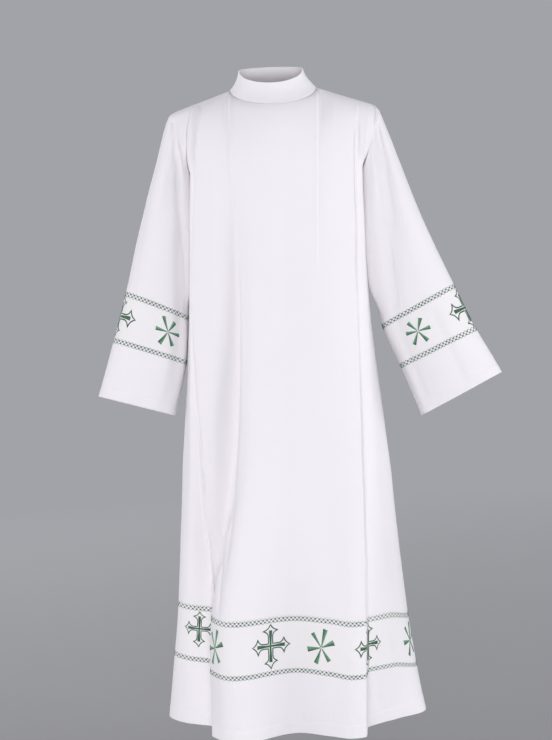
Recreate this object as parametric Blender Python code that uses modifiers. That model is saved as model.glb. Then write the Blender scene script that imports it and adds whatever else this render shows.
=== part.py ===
"""Alb with a stand collar, hanging as worn on a general figure, every opening left open.

Metres, +Z up, the front faces -Y. The origin is the middle of the neck at the height of the two
shoulder points, where the wearer carries the garment. Every piece is a sheet of cloth: an open
surface lofted through named sections, which a Solidify modifier turns into a wall.

The body is one closed loft. Named lines run down it: side seams, pleat edges, troughs and
bulges. A table row holds a line's place at each level, and the cloth's columns are spaced
between neighbouring lines, so that each crease runs along a column. A sleeve is a loft too, from
the armhole through sections that follow the arm. Pieces that are sewn together share these
lofts, so their edges run 0.3 mm apart.
"""

import math
from collections import namedtuple

import bpy
import numpy as np

# Cloth
WALL = 0.002
COLLAR_WALL = 0.003
SEAM = 0.0003
NEAR_SEAM = 0.003

# Levels of the body, top to bottom
CHEST = -0.185
WAIST = -0.500
KNEE = -0.850
BAND_TOP = -1.168
BAND_BOTTOM = -1.290
HEM = -1.430

# Neckline and shoulders
NECK_CENTRE = 0.004
NECK_HALF_WIDTH = 0.098
NECK_FRONT = 0.075
NECK_BACK = 0.078
NECK_FRONT_DROP = 0.036
NECK_BACK_RISE = 0.022
SHOULDER_SLOPE = 0.34
ARMHOLE_TOP_LEFT = -0.172
ARMHOLE_TOP_RIGHT = 0.225

# Collar: it rises from the neckline to a narrower ring and flares towards its seam
COLLAR_TOP_HALF_WIDTH = 0.074
COLLAR_TOP_FRONT = 0.056
COLLAR_TOP_BACK = 0.062
COLLAR_SIDE_HEIGHT = 0.045
COLLAR_FRONT_HEIGHT = 0.011
COLLAR_BACK_HEIGHT = 0.056
COLLAR_FLARE_POWER = 1.7
COLLAR_ROWS = 4

# How the cloth leaves the top edge and arrives at the chest: tangents of a Hermite curve, in
# metres outwards to the arm, outwards to the front or back, and up
SHOULDER_LEAVES = np.array((0.0, 0.17, 0.0))
SHOULDER_ARRIVES = 0.26
NECK_POINT_LEAVES = np.array((0.07, 0.11, -0.010))
NECK_POINT_REACH = 0.3
NECK_LEAVES = np.array((0.0, 0.06, -0.05))
NECK_ARRIVES = 0.17
ARMHOLE_FRONT_LEAVES = np.array((0.060, 0.185, 0.0))
ARMHOLE_FRONT_ARRIVES = np.array((-0.045, -0.150, -0.040))
ARMHOLE_BACK_LEAVES = np.array((0.060, 0.220, 0.0))
ARMHOLE_BACK_ARRIVES = np.array((-0.045, -0.210, -0.040))

# Rows of faces down each piece
YOKE_ROWS = 10
BODY_ROWS = 11
BAND_ROWS = 2
HEM_ROWS = 3

# A line down the body. columns: faces across to the next line. soft: 1 is a round bend, 0 a
# crease. arm: how far the line bends with the armhole. sag: how far the band seams drop on it.
# shoulder: where it starts on the shoulder seam, 0 at the neck and 1 at the armhole. neck: where
# it starts on the front or back neckline, from 0 at one shoulder point to 1 at the other.
# x and y: its places at each level.
Line = namedtuple(
    "Line",
    "name columns soft arm sag shoulder neck x_chest x_waist x_knee x_band x_hem"
    " y_chest y_waist y_knee y_band y_hem",
)

# fmt: off
FRONT_LINES = (
    #    name          cols soft  arm   sag    shoulder neck chest   waist   knee    band    hem     y_chest waist   knee    band    hem
    Line("left_seam",    3, 1.0, 1.00, 0.000,  1.00,    0.00, -0.190, -0.205, -0.235, -0.260, -0.291, -0.018, -0.025, -0.035, -0.048, -0.055),
    Line("left_side",    2, 1.0, 0.50, 0.000,  0.96,    0.00, -0.188, -0.201, -0.218, -0.232, -0.250, -0.046, -0.060, -0.073, -0.080, -0.110),
    Line("left_foot",    1, 0.4, 0.12, 0.000,  0.92,    0.00, -0.180, -0.194, -0.191, -0.183, -0.189, -0.066, -0.082, -0.098, -0.090, -0.152),
    Line("left_pleat",   2, 0.4, 0.05, 0.000,  0.88,    0.00, -0.176, -0.192, -0.189, -0.181, -0.187, -0.082, -0.096, -0.112, -0.100, -0.162),
    Line("left_strip",   2, 1.0, 0.00, 0.000,  0.43,    0.00, -0.142, -0.156, -0.166, -0.180, -0.186, -0.106, -0.115, -0.116, -0.110, -0.170),
    Line("left_trough",  1, 0.6, 0.00, 0.000,  0.00,    0.00, -0.100, -0.115, -0.141, -0.177, -0.184, -0.117, -0.117, -0.112, -0.122, -0.182),
    Line("left_lip",     3, 0.8, 0.00, 0.000,  0.00,    0.10, -0.091, -0.102, -0.124, -0.170, -0.180, -0.122, -0.134, -0.148, -0.180, -0.222),
    Line("left_bulge",   4, 1.0, 0.00, 0.000,  0.00,    0.28, -0.055, -0.060, -0.085, -0.132, -0.123, -0.125, -0.143, -0.172, -0.236, -0.276),
    Line("centre",       6, 1.0, 0.00, 0.000,  0.00,    0.50,  0.000,  0.000,  0.000,  0.000,  0.000, -0.127, -0.143, -0.170, -0.200, -0.219),
    Line("right_tuck",   3, 1.0, 0.00, 0.003,  0.00,    1.00,  0.096,  0.087,  0.080,  0.080,  0.078, -0.121, -0.139, -0.172, -0.224, -0.250),
    Line("right_bulge",  2, 1.0, 0.00, 0.007,  0.37,    0.00,  0.140,  0.135,  0.130,  0.128,  0.118, -0.108, -0.130, -0.174, -0.245, -0.270),
    Line("right_corner", 1, 0.4, 0.05, 0.007,  0.68,    0.00,  0.179,  0.173,  0.168,  0.162,  0.151, -0.088, -0.111, -0.163, -0.238, -0.262),
    Line("right_foot",   2, 0.4, 0.12, 0.007,  0.76,    0.00,  0.186,  0.178,  0.173,  0.167,  0.157, -0.072, -0.086, -0.128, -0.205, -0.192),
    Line("right_side",   3, 1.0, 0.50, 0.014,  0.90,    0.00,  0.194,  0.195,  0.208,  0.218,  0.232, -0.046, -0.056, -0.084, -0.150, -0.140),
    Line("right_seam",   3, 1.0, 1.00, 0.034,  1.00,    0.00,  0.196,  0.207,  0.241,  0.268,  0.301, -0.018, -0.025, -0.040, -0.062, -0.083),
)

# The back's right half, from the side seam to the middle. The left half mirrors it.
BACK_LINES = (
    #    name          cols soft  arm   sag    shoulder neck chest   waist   knee    band    hem     y_chest waist   knee    band    hem
    Line("back_side",    2, 1.0, 0.50, 0.014,  0.90,    0.00,  0.187,  0.196,  0.218,  0.240,  0.262,  0.040,  0.048,  0.060,  0.086,  0.110),
    Line("back_foot",    1, 0.4, 0.12, 0.007,  0.74,    0.00,  0.172,  0.176,  0.180,  0.184,  0.190,  0.066,  0.078,  0.098,  0.122,  0.140),
    Line("back_pleat",   3, 0.4, 0.05, 0.003,  0.68,    0.00,  0.166,  0.169,  0.173,  0.176,  0.180,  0.073,  0.088,  0.120,  0.165,  0.190),
    Line("back_bulge",   2, 1.0, 0.00, 0.000,  0.32,    0.00,  0.126,  0.126,  0.126,  0.128,  0.130,  0.095,  0.110,  0.150,  0.208,  0.240),
    Line("back_neck",    6, 1.0, 0.00, 0.000,  0.00,    0.00,  0.092,  0.084,  0.078,  0.074,  0.072,  0.107,  0.118,  0.146,  0.190,  0.214),
    Line("back_centre",  6, 1.0, 0.00, 0.000,  0.00,    0.50,  0.000,  0.000,  0.000,  0.000,  0.000,  0.114,  0.121,  0.142,  0.172,  0.190),
)

# A section of a sleeve. Its outer and inner ends are seen from the front, y is its middle and
# half_depth its reach from there to front and back. trough is where the long soft fold on its
# front runs, in degrees from the inner end.
Section = namedtuple("Section", "name outer_x outer_z inner_x inner_z y half_depth trough")
SLEEVE_LEFT = (
    #        name           outer_x outer_z inner_x inner_z  y      half_depth trough
    Section("shoulder",     -0.233, -0.053, -0.194, -0.197,  0.000, 0.060, 125),
    Section("upper_arm",    -0.273, -0.172, -0.197, -0.250, -0.006, 0.066,  78),
    Section("elbow",        -0.312, -0.306, -0.202, -0.370, -0.014, 0.064,  58),
    Section("band_top",     -0.349, -0.450, -0.209, -0.511, -0.022, 0.058,  42),
    Section("band_bottom",  -0.381, -0.554, -0.219, -0.611, -0.028, 0.055,  42),
    Section("cuff_edge",    -0.422, -0.675, -0.249, -0.727, -0.034, 0.052,  46),
)
SLEEVE_RIGHT = (
    #        name           outer_x outer_z inner_x inner_z  y      half_depth trough
    Section("shoulder",      0.244, -0.059,  0.202, -0.200,  0.000, 0.060,  92),
    Section("upper_arm",     0.287, -0.180,  0.202, -0.262, -0.006, 0.066,  88),
    Section("elbow",         0.334, -0.306,  0.205, -0.380, -0.014, 0.066,  78),
    Section("band_top",      0.402, -0.463,  0.235, -0.549, -0.022, 0.060,  66),
    Section("band_bottom",   0.449, -0.563,  0.275, -0.642, -0.028, 0.057,  58),
    Section("cuff_edge",     0.499, -0.661,  0.315, -0.749, -0.034, 0.054,  56),
)
# fmt: on

# Faces between a sleeve's sections: from the armhole to the shoulder section, and so on.
# One more row lies near each band seam, so that the walls on both sides of it lean alike.
# The sleeve turns down sharply at its shoulder section, where its curves are less soft, and its
# front edge sits a little higher than its back edge.
SLEEVE_ROWS = (1, 3, 3, 2, 2)
SLEEVE_BAND_ROWS = 1
CUFF_ROWS = 1
NEAR_SLEEVE_SEAM = 0.010
SLEEVE_GAP = 0.00036
SHOULDER_RING = 2
SHOULDER_SOFTNESS = 0.45
ARMHOLE_INSET = 0.2
ARMHOLE_TURN_POWER = 6
SLEEVE_SECTION_POWER = 2.3
SLEEVE_FRONT_LIFT = 0.008
TROUGH_DEPTH = 0.008
TROUGH_HALF_ANGLE = math.radians(30)

LEVELS = (CHEST, WAIST, KNEE, BAND_TOP, HEM)


# ---- Curves ------------------------------------------------------------------------------


def hermite(start, end, leaves, arrives, share):
    """The point at a share of a cubic curve with given ends and end tangents."""
    s2 = share * share
    s3 = s2 * share
    return (
        (2 * s3 - 3 * s2 + 1) * start
        + (s3 - 2 * s2 + share) * leaves
        + (3 * s2 - 2 * s3) * end
        + (s3 - s2) * arrives
    )


def smooth_through(knots, values, at):
    """A smooth curve through values at rising knots, read at one place."""
    spans = np.diff(knots)
    slopes = np.diff(values, axis=0) / spans[:, None]
    tangents = np.empty_like(values)
    tangents[0] = slopes[0]
    tangents[-1] = slopes[-1]
    before = spans[:-1, None]
    after = spans[1:, None]
    tangents[1:-1] = (after * slopes[:-1] + before * slopes[1:]) / (before + after)
    i = int(np.clip(np.searchsorted(knots, at, side="right") - 1, 0, len(spans) - 1))
    share = (at - knots[i]) / spans[i]
    return hermite(
        values[i],
        values[i + 1],
        tangents[i] * spans[i],
        tangents[i + 1] * spans[i],
        share,
    )


def mirrored(line, name, columns):
    """The same line on the other side of the body."""
    flipped = {key: -getattr(line, key) for key in line._fields if key.startswith("x_")}
    return line._replace(name=name, columns=columns, sag=0.0, **flipped)


def body_lines():
    """All lines round the body, from the left side seam over the front and the back."""
    columns = [line.columns for line in BACK_LINES[-3::-1]] + [FRONT_LINES[-1].columns]
    left = [
        mirrored(line, line.name + "_left", count)
        for line, count in zip(BACK_LINES[-2::-1], columns)
    ]
    return list(FRONT_LINES) + list(BACK_LINES) + left


LINES = body_lines()
COUNT = len(LINES)
LEFT_SEAM = 0
RIGHT_SEAM = len(FRONT_LINES) - 1
NAMES = [line.name for line in LINES]
NECK_LEFT = NAMES.index("left_trough")
NECK_RIGHT = NAMES.index("right_tuck")
NECK_BACK_RIGHT = NAMES.index("back_neck")
NECK_BACK_LEFT = NAMES.index("back_neck_left")
LINE_PLACES = np.array(
    [
        [
            (line.x_chest, line.y_chest),
            (line.x_waist, line.y_waist),
            (line.x_knee, line.y_knee),
            (line.x_band, line.y_band),
            (line.x_hem, line.y_hem),
        ]
        for line in LINES
    ]
)
SOFTNESS = np.array([line.soft for line in LINES])
SAG = np.array([line.sag for line in LINES])
ARM = np.array([line.arm for line in LINES])
SHOULDER = np.array([line.shoulder for line in LINES])
NECK = np.array([line.neck for line in LINES])
NECK[NECK_BACK_LEFT] = 1.0


def between_lines(values, place):
    """A smooth value between the body's lines: place 2.5 is halfway from line 2 to line 3."""
    i = int(math.floor(place)) % COUNT
    share = place - math.floor(place)
    before, start, end, after = (values[(i + step) % COUNT] for step in (-1, 0, 1, 2))
    span = np.linalg.norm(end - start)
    leaves = end - before
    arrives = after - start
    leaves = leaves / max(np.linalg.norm(leaves), 1e-9) * span * SOFTNESS[i]
    arrives = arrives / max(np.linalg.norm(arrives), 1e-9) * span * SOFTNESS[(i + 1) % COUNT]
    return hermite(start, end, leaves, arrives, share)


def straight_between(values, place):
    """A value between the body's lines, in even steps."""
    i = int(math.floor(place)) % COUNT
    share = place - math.floor(place)
    return values[i] + (values[(i + 1) % COUNT] - values[i]) * share


# ---- Body --------------------------------------------------------------------------------


def sag_share(level):
    """How much of a line's sag applies at a height: all of it on the band, none at the hem."""
    knots = (HEM, BAND_BOTTOM, BAND_TOP, KNEE, CHEST)
    return float(np.interp(level, knots, (0.0, 1.0, 1.0, 0.15, 0.0)))


def body_ring(level):
    """The points of every line at one height."""
    knots = -np.array(LEVELS)
    ring = np.empty((COUNT, 3))
    for i in range(COUNT):
        ring[i, :2] = smooth_through(knots, LINE_PLACES[i], -level)
    ring[:, 2] = level - SAG * sag_share(level)
    return ring


def neck_angle(place):
    """How far round the neckline a place lies, 0 and pi at the shoulder points, or None."""
    on_front = NECK_LEFT <= place <= NECK_RIGHT
    on_back = NECK_BACK_RIGHT <= place <= NECK_BACK_LEFT
    if on_front or on_back:
        return math.pi * float(straight_between(NECK, place))
    return None


def is_front(place):
    return place <= RIGHT_SEAM


def top_edge(place):
    """The point where a column starts, on the neckline or the shoulder seam."""
    angle = neck_angle(place)
    if angle is None:
        left = place < NECK_LEFT or place > NECK_BACK_LEFT
        armhole_top = ARMHOLE_TOP_LEFT if left else ARMHOLE_TOP_RIGHT
        neck_point = NECK_CENTRE + math.copysign(NECK_HALF_WIDTH, armhole_top)
        from_neck = (armhole_top - neck_point) * float(straight_between(SHOULDER, place))
        return np.array((neck_point + from_neck, 0.0, -SHOULDER_SLOPE * abs(from_neck)))
    across = NECK_HALF_WIDTH * math.cos(angle)
    away = math.sin(angle)
    if is_front(place):
        return np.array((NECK_CENTRE - across, -NECK_FRONT * away, -NECK_FRONT_DROP * away))
    return np.array((NECK_CENTRE + across, NECK_BACK * away, NECK_BACK_RISE * away))


def yoke_curve(place, share):
    """A point of the cloth between the top edge, share 0, and the chest level, share 1."""
    front = is_front(place)
    start = top_edge(place)
    outward = np.array((math.copysign(1.0, start[0] - NECK_CENTRE), -1.0 if front else 1.0, 1.0))
    ring = body_ring(CHEST)
    below = body_ring(CHEST - 0.01)
    end = between_lines(ring, place)
    down = between_lines(below, place) - end
    down = down / np.linalg.norm(down)
    angle = neck_angle(place)
    if angle is None:
        neck = 0.0
        from_neck = min(float(straight_between(SHOULDER, place)) / NECK_POINT_REACH, 1.0)
        leaves = NECK_POINT_LEAVES * (1 - from_neck) + SHOULDER_LEAVES * from_neck
    else:
        neck = math.sin(angle)
        leaves = NECK_POINT_LEAVES * (1 - neck) + NECK_LEAVES * neck
    arrives = down * (SHOULDER_ARRIVES * (1 - neck) + NECK_ARRIVES * neck)
    arm = float(straight_between(ARM, place))
    arm_leaves = ARMHOLE_FRONT_LEAVES if front else ARMHOLE_BACK_LEAVES
    arm_arrives = ARMHOLE_FRONT_ARRIVES if front else ARMHOLE_BACK_ARRIVES
    leaves = (leaves * (1 - arm) + arm_leaves * arm) * outward
    arrives = arrives * (1 - arm) + arm_arrives * outward * arm
    return hermite(start, end, leaves, arrives, share)


def columns_between(first, last):
    """Places of the columns of a piece from one seam line to the next, kept off both seams."""
    chest = body_ring(CHEST)
    places = []
    for i in range(first, last):
        count = LINES[i % COUNT].columns
        places += [i + step / count for step in range(count)]
    start_span = np.linalg.norm(chest[(first + 1) % COUNT] - chest[first % COUNT])
    end_span = np.linalg.norm(chest[last % COUNT] - chest[(last - 1) % COUNT])
    starts = [first + SEAM / 2 / start_span, first + NEAR_SEAM / start_span]
    ends = [last - NEAR_SEAM / end_span, last - SEAM / 2 / end_span]
    return starts + places[1:] + ends


def armhole_shares():
    """Where a yoke's rows meet the armhole: 0 would be its top and 1 is the armpit."""
    near_seam = NEAR_SEAM / abs(SHOULDER_LEAVES[1])
    return [near_seam] + [row / YOKE_ROWS for row in range(1, YOKE_ROWS + 1)]


def yoke_shares():
    """Rows between the top edge and the chest, the first just clear of the seam."""
    first = SEAM / 2 / abs(SHOULDER_LEAVES[1])
    return [first] + armhole_shares()[:-1]


def heights(top, bottom, rows):
    """Heights of a piece's rows between two levels, kept off the seam at each end."""
    top_gap = 0.0 if top == CHEST else SEAM / 2
    bottom_gap = 0.0 if bottom == HEM else SEAM / 2
    return list(np.linspace(top - top_gap, bottom + bottom_gap, rows + 1))


def body_grid(places, levels):
    """Points of a stretch of the body, one row for each level."""
    rows = []
    for level in levels:
        ring = body_ring(level)
        rows.append([between_lines(ring, place) for place in places])
    return np.array(rows)


def panel_grid(places):
    """Points of the front or back panel, from its top edge to the band."""
    yoke = [[yoke_curve(place, share) for place in places] for share in yoke_shares()]
    lower = body_grid(places, heights(CHEST, BAND_TOP, BODY_ROWS))
    return np.concatenate([np.array(yoke), lower])


# ---- Sleeves -----------------------------------------------------------------------------


def armhole(seam, inset):
    """Points from the armpit up the armhole's front edge and down its back edge.

    With an inset, in lines of the body, they lie that far inside the panels' edges.
    """
    nudge = inset + 1e-6
    front_place = seam + inset if seam == LEFT_SEAM else RIGHT_SEAM - inset
    back_place = COUNT - nudge if seam == LEFT_SEAM else RIGHT_SEAM + nudge
    shares = armhole_shares()
    front = [yoke_curve(front_place, share) for share in reversed(shares)]
    back = [yoke_curve(back_place, share) for share in shares[:-1]]
    return np.array(front + [top_edge(front_place)] + back)


def sleeve_angles():
    """Each sleeve column's angle: 0 at the inner end, a quarter turn at the front."""
    shares = armhole_shares()
    front = [math.pi * (1 - share) for share in reversed(shares)]
    back = [math.pi * (1 + share) for share in shares[:-1]]
    return front + [math.pi] + back


def rounded(value):
    """A sine or cosine pushed outwards, so that a section is a little squarer."""
    return math.copysign(abs(value) ** (2 / SLEEVE_SECTION_POWER), value)


def section_ring(section):
    """The points of one sleeve section, with the dip of its front fold."""
    outer = np.array((section.outer_x, section.y, section.outer_z))
    inner = np.array((section.inner_x, section.y, section.inner_z))
    middle = (outer + inner) / 2
    towards_inner = (inner - outer) / 2
    forward = np.array((0.0, -section.half_depth, SLEEVE_FRONT_LIFT))
    ring = []
    for angle in sleeve_angles():
        point = towards_inner * rounded(math.cos(angle)) + forward * rounded(math.sin(angle))
        off = (angle - math.radians(section.trough)) / TROUGH_HALF_ANGLE
        dip = TROUGH_DEPTH * math.exp(-off * off * 2)
        ring.append(middle + point * (1 - dip / np.linalg.norm(point)))
    return np.array(ring)


def unit(vectors):
    return vectors / np.linalg.norm(vectors, axis=1)[:, None]


def sleeve_rings(seam, sections):
    """The armhole, a ring just outside it and every section below, as stacked rings.

    Near its top the sleeve leaves the armhole in line with the panels, and by the armpit it
    heads straight for the first section.
    """
    start = armhole(seam, 0.0)
    rings = [section_ring(section) for section in sections]
    in_line = unit(start - armhole(seam, ARMHOLE_INSET))
    turn = np.sin(np.array(sleeve_angles()) / 2)[:, None] ** ARMHOLE_TURN_POWER
    away = unit(unit(rings[0] - start) * (1 - turn) + in_line * turn)
    return np.array([start + away * SLEEVE_GAP, start + away * NEAR_SEAM] + rings)


def sleeve_row(rings, place):
    """Points of the sleeve at a place: 2.5 is halfway from ring 2 to ring 3."""
    i = min(int(place), len(rings) - 2)
    before, start, end = rings[max(i - 1, 0)], rings[i], rings[i + 1]
    after = rings[min(i + 2, len(rings) - 1)]
    span = np.linalg.norm(end - start, axis=1)[:, None]
    start_soft = SHOULDER_SOFTNESS if i == SHOULDER_RING else 1.0
    end_soft = SHOULDER_SOFTNESS if i + 1 == SHOULDER_RING else 1.0
    leaves = unit(end - before) * span * start_soft
    arrives = unit(after - start) * span * end_soft
    return hermite(start, end, leaves, arrives, place - i)


def sleeve_stretch(rings, first, last, rows, gap_top, gap_bottom):
    """Rows of a sleeve between two of its rings, moved off the seams by the gaps."""
    places = []
    for i, count in zip(range(first, last), rows):
        places += [i + step / count for step in range(count)]
    places.append(last)
    first_span = np.linalg.norm(rings[first + 1] - rings[first], axis=1).mean()
    last_span = np.linalg.norm(rings[last] - rings[last - 1], axis=1).mean()
    if gap_top:
        places[0] += gap_top / first_span
        places.insert(1, first + NEAR_SLEEVE_SEAM / first_span)
    if gap_bottom:
        places[-1] -= gap_bottom / last_span
        places.insert(-1, last - NEAR_SLEEVE_SEAM / last_span)
    return np.array([sleeve_row(rings, place) for place in places])


# ---- Collar ------------------------------------------------------------------------------


def collar_grid(places):
    """Points of the collar, from its top edge down to the neckline."""
    bottom = np.array([top_edge(place) for place in places])
    bottom[:, 2] += SEAM
    top = []
    for place in places:
        angle = neck_angle(place)
        front = is_front(place)
        across = COLLAR_TOP_HALF_WIDTH * math.cos(angle) * (-1 if front else 1)
        reach = -COLLAR_TOP_FRONT if front else COLLAR_TOP_BACK
        height = COLLAR_FRONT_HEIGHT if front else COLLAR_BACK_HEIGHT
        away = math.sin(angle)
        rise = COLLAR_SIDE_HEIGHT + (height - COLLAR_SIDE_HEIGHT) * away
        top.append((across, reach * away, rise))
    top = np.array(top)
    rows = []
    for row in range(COLLAR_ROWS + 1):
        share = row / COLLAR_ROWS
        flare = share**COLLAR_FLARE_POWER
        rows.append(top + (bottom - top) * np.array((flare, flare, share)))
    return np.array(rows)


def neck_places():
    """Places of the columns that start on the neckline, all the way round."""
    places = []
    for first, last in ((NECK_LEFT, NECK_RIGHT), (NECK_BACK_RIGHT, NECK_BACK_LEFT)):
        for i in range(first, last):
            count = LINES[i].columns
            places += [i + step / count for step in range(count)]
        places.append(last - 1e-9)
    return [place for place in places if place not in (NECK_BACK_RIGHT, NECK_BACK_LEFT - 1e-9)]


# ---- Pieces ------------------------------------------------------------------------------


def material(name, colour, roughness):
    finish = bpy.data.materials.new(name)
    finish.use_nodes = True
    shader = finish.node_tree.nodes["Principled BSDF"]
    shader.inputs["Base Color"].default_value = (*colour, 1.0)
    shader.inputs["Roughness"].default_value = roughness
    shader.inputs["Metallic"].default_value = 0.0
    return finish


def cloth(name, grid, finish, collection, closed=False, turned=False, wall=WALL):
    """One piece of cloth: the surface through a grid of points, with its wall inwards."""
    rows, columns = grid.shape[:2]
    faces = []
    for row in range(rows - 1):
        for column in range(columns if closed else columns - 1):
            beside = (column + 1) % columns
            corners = [
                row * columns + column,
                (row + 1) * columns + column,
                (row + 1) * columns + beside,
                row * columns + beside,
            ]
            faces.append(corners[::-1] if turned else corners)
    mesh = bpy.data.meshes.new(name)
    mesh.from_pydata(grid.reshape(-1, 3).tolist(), [], faces)
    mesh.materials.append(finish)
    mesh.shade_smooth()
    piece = bpy.data.objects.new(name, mesh)
    collection.objects.link(piece)
    thickness = piece.modifiers.new("wall", "SOLIDIFY")
    thickness.thickness = wall
    thickness.offset = -1.0
    return piece


def build_body(collection, plain, band):
    """The front and back panels, the skirt's bands and its plain ends."""
    for side, first, last in (("front", LEFT_SEAM, RIGHT_SEAM), ("back", RIGHT_SEAM, COUNT)):
        places = columns_between(first, last)
        cloth(side, panel_grid(places), plain, collection)
        band_levels = heights(BAND_TOP, BAND_BOTTOM, BAND_ROWS)
        cloth("hem_band_" + side, body_grid(places, band_levels), band, collection)
        hem_levels = heights(BAND_BOTTOM, HEM, HEM_ROWS)
        cloth("hem_" + side, body_grid(places, hem_levels), plain, collection)


def build_sleeve(collection, side, seam, sections, plain, band):
    """One sleeve, the band let into it and its plain cuff."""
    rings = sleeve_rings(seam, sections)
    turned = side == "left"
    names = ["armhole", "near_armhole"] + [section.name for section in sections]
    band_top = names.index("band_top")
    band_bottom = names.index("band_bottom")
    edge = names.index("cuff_edge")
    half_gap = SEAM / 2
    pieces = (
        ("sleeve_", 0, band_top, SLEEVE_ROWS, 0.0, half_gap, plain),
        ("sleeve_band_", band_top, band_bottom, (SLEEVE_BAND_ROWS,), half_gap, half_gap, band),
        ("cuff_", band_bottom, edge, (CUFF_ROWS,), half_gap, 0.0, plain),
    )
    for name, first, last, rows, gap_top, gap_bottom, finish in pieces:
        grid = sleeve_stretch(rings, first, last, rows, gap_top, gap_bottom)
        cloth(name + side, grid, finish, collection, closed=True, turned=turned)


def main():
    for old in list(bpy.data.objects):
        bpy.data.objects.remove(old, do_unlink=True)
    collection = bpy.data.collections.new("alb")
    bpy.context.scene.collection.children.link(collection)
    plain = material("white_cloth", (0.82, 0.80, 0.84), 0.75)
    band = material("band_cloth", (0.84, 0.84, 0.83), 0.7)
    build_body(collection, plain, band)
    build_sleeve(collection, "left", LEFT_SEAM, SLEEVE_LEFT, plain, band)
    build_sleeve(collection, "right", RIGHT_SEAM, SLEEVE_RIGHT, plain, band)
    cloth("collar", collar_grid(neck_places()), plain, collection, closed=True, wall=COLLAR_WALL)


if __name__ == "__main__":
    main()
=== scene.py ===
"""Alb with a stand collar: worn cloth with its folds, seams and embroidery.

Metres, +Z up, the front faces -Y. Every sheet of cloth is a thin shell on the form of the solid
that it replaces: the solid's lines and sections are lofted again, finer, some of them moved by
up to 25 mm to sharpen the folds at the sides and left of the middle. The smaller folds of the
hanging cloth are laid on them one by one, each with its own path, width and depth. The
embroidery is thread: every motif and every stitch of the trims is mapped on the folded cloth.
"""

from __future__ import annotations

import logging
import math
from collections.abc import Callable, Iterable, Sequence
from dataclasses import dataclass, field
from enum import Enum

import bpy
import numpy as np
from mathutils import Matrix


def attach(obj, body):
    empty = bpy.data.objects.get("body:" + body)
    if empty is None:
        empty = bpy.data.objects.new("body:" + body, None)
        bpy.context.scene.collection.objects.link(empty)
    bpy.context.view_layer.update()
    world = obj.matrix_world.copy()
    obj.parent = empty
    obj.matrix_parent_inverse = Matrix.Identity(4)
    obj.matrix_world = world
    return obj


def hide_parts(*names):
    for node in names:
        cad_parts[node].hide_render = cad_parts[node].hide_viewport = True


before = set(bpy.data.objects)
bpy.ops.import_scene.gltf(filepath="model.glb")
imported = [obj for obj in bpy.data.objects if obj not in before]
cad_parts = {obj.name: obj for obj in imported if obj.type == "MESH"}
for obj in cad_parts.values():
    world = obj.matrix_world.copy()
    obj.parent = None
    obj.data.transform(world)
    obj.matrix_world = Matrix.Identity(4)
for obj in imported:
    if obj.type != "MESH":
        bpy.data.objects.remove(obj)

LOG = logging.getLogger("alb")
BODY = "root"
PLAIN_SLOT = "plain_cloth"
BAND_SLOT = "band_cloth"
# How thick the cloth is, and how far it ends before a seam beside it and below it.
WALL = 0.0013
COLLAR_WALL = 0.0026
SEAM_GAP = 0.0002
ROW_GAP = 0.00003
# How far from a seam the extra rows of points stand, and how wide the step of a lap is.
FINE_STEPS = (0.0012, 0.003)
LAP_EDGE = 0.0012
# The rings of a sleeve that its band starts and ends on.
SLEEVE_BAND_TOP = 5
SLEEVE_BAND_BOTTOM = 6
# The light of the air round the garment, and of the floor far away.
AIR = (0.36, 0.365, 0.39)


class Side(Enum):
    """A side of the body, or the sleeve on a side."""

    FRONT = "front"
    BACK = "back"
    LEFT = "left"
    RIGHT = "right"


class Edge(Enum):
    """An edge of a sheet."""

    TOP = 1
    BOTTOM = 2
    LEFT = 3
    RIGHT = 4


# ---- Curves and small sums ---------------------------------------------------------------


def hermite(start: np.ndarray, end: np.ndarray, leaves: np.ndarray, arrives: np.ndarray,
            share: np.ndarray | float) -> np.ndarray:
    """A cubic curve with given ends and end tangents.

    Args:
        start: Where the curve starts.
        end: Where it ends.
        leaves: Tangent at the start.
        arrives: Tangent at the end.
        share: How far along, from 0 to 1.

    Returns:
        The points at that share.
    """
    s2 = share * share
    s3 = s2 * share
    return (
        (2 * s3 - 3 * s2 + 1) * start
        + (s3 - 2 * s2 + share) * leaves
        + (3 * s2 - 2 * s3) * end
        + (s3 - s2) * arrives
    )


def unit(vectors: np.ndarray) -> np.ndarray:
    """The vectors at length 1."""
    return vectors / np.maximum(np.linalg.norm(vectors, axis=-1, keepdims=True), 1e-9)


def smooth_step(start: float, end: float, value: np.ndarray) -> np.ndarray:
    """A soft step from 0 at the start to 1 at the end."""
    share = np.clip((value - start) / (end - start), 0.0, 1.0)
    return share * share * (3 - 2 * share)


def smooth_through(knots: np.ndarray, values: np.ndarray, at: np.ndarray) -> np.ndarray:
    """Smooth curves through values at rising knots.

    Args:
        knots: Where the values stand, rising.
        values: One or more curves, as (..., knots, coordinates).
        at: The places to read.

    Returns:
        The curves at those places, as (..., places, coordinates).
    """
    spans = np.diff(knots)
    slopes = np.diff(values, axis=-2) / spans[:, None]
    tangents = np.empty_like(values)
    tangents[..., 0, :] = slopes[..., 0, :]
    tangents[..., -1, :] = slopes[..., -1, :]
    before = spans[:-1, None]
    after = spans[1:, None]
    inner = (after * slopes[..., :-1, :] + before * slopes[..., 1:, :]) / (before + after)
    tangents[..., 1:-1, :] = inner
    i = np.clip(np.searchsorted(knots, at, side="right") - 1, 0, len(spans) - 1)
    span = spans[i][:, None]
    share = (at - knots[i])[:, None] / span
    leaves = tangents[..., i, :] * span
    arrives = tangents[..., i + 1, :] * span
    return hermite(values[..., i, :], values[..., i + 1, :], leaves, arrives, share)


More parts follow.
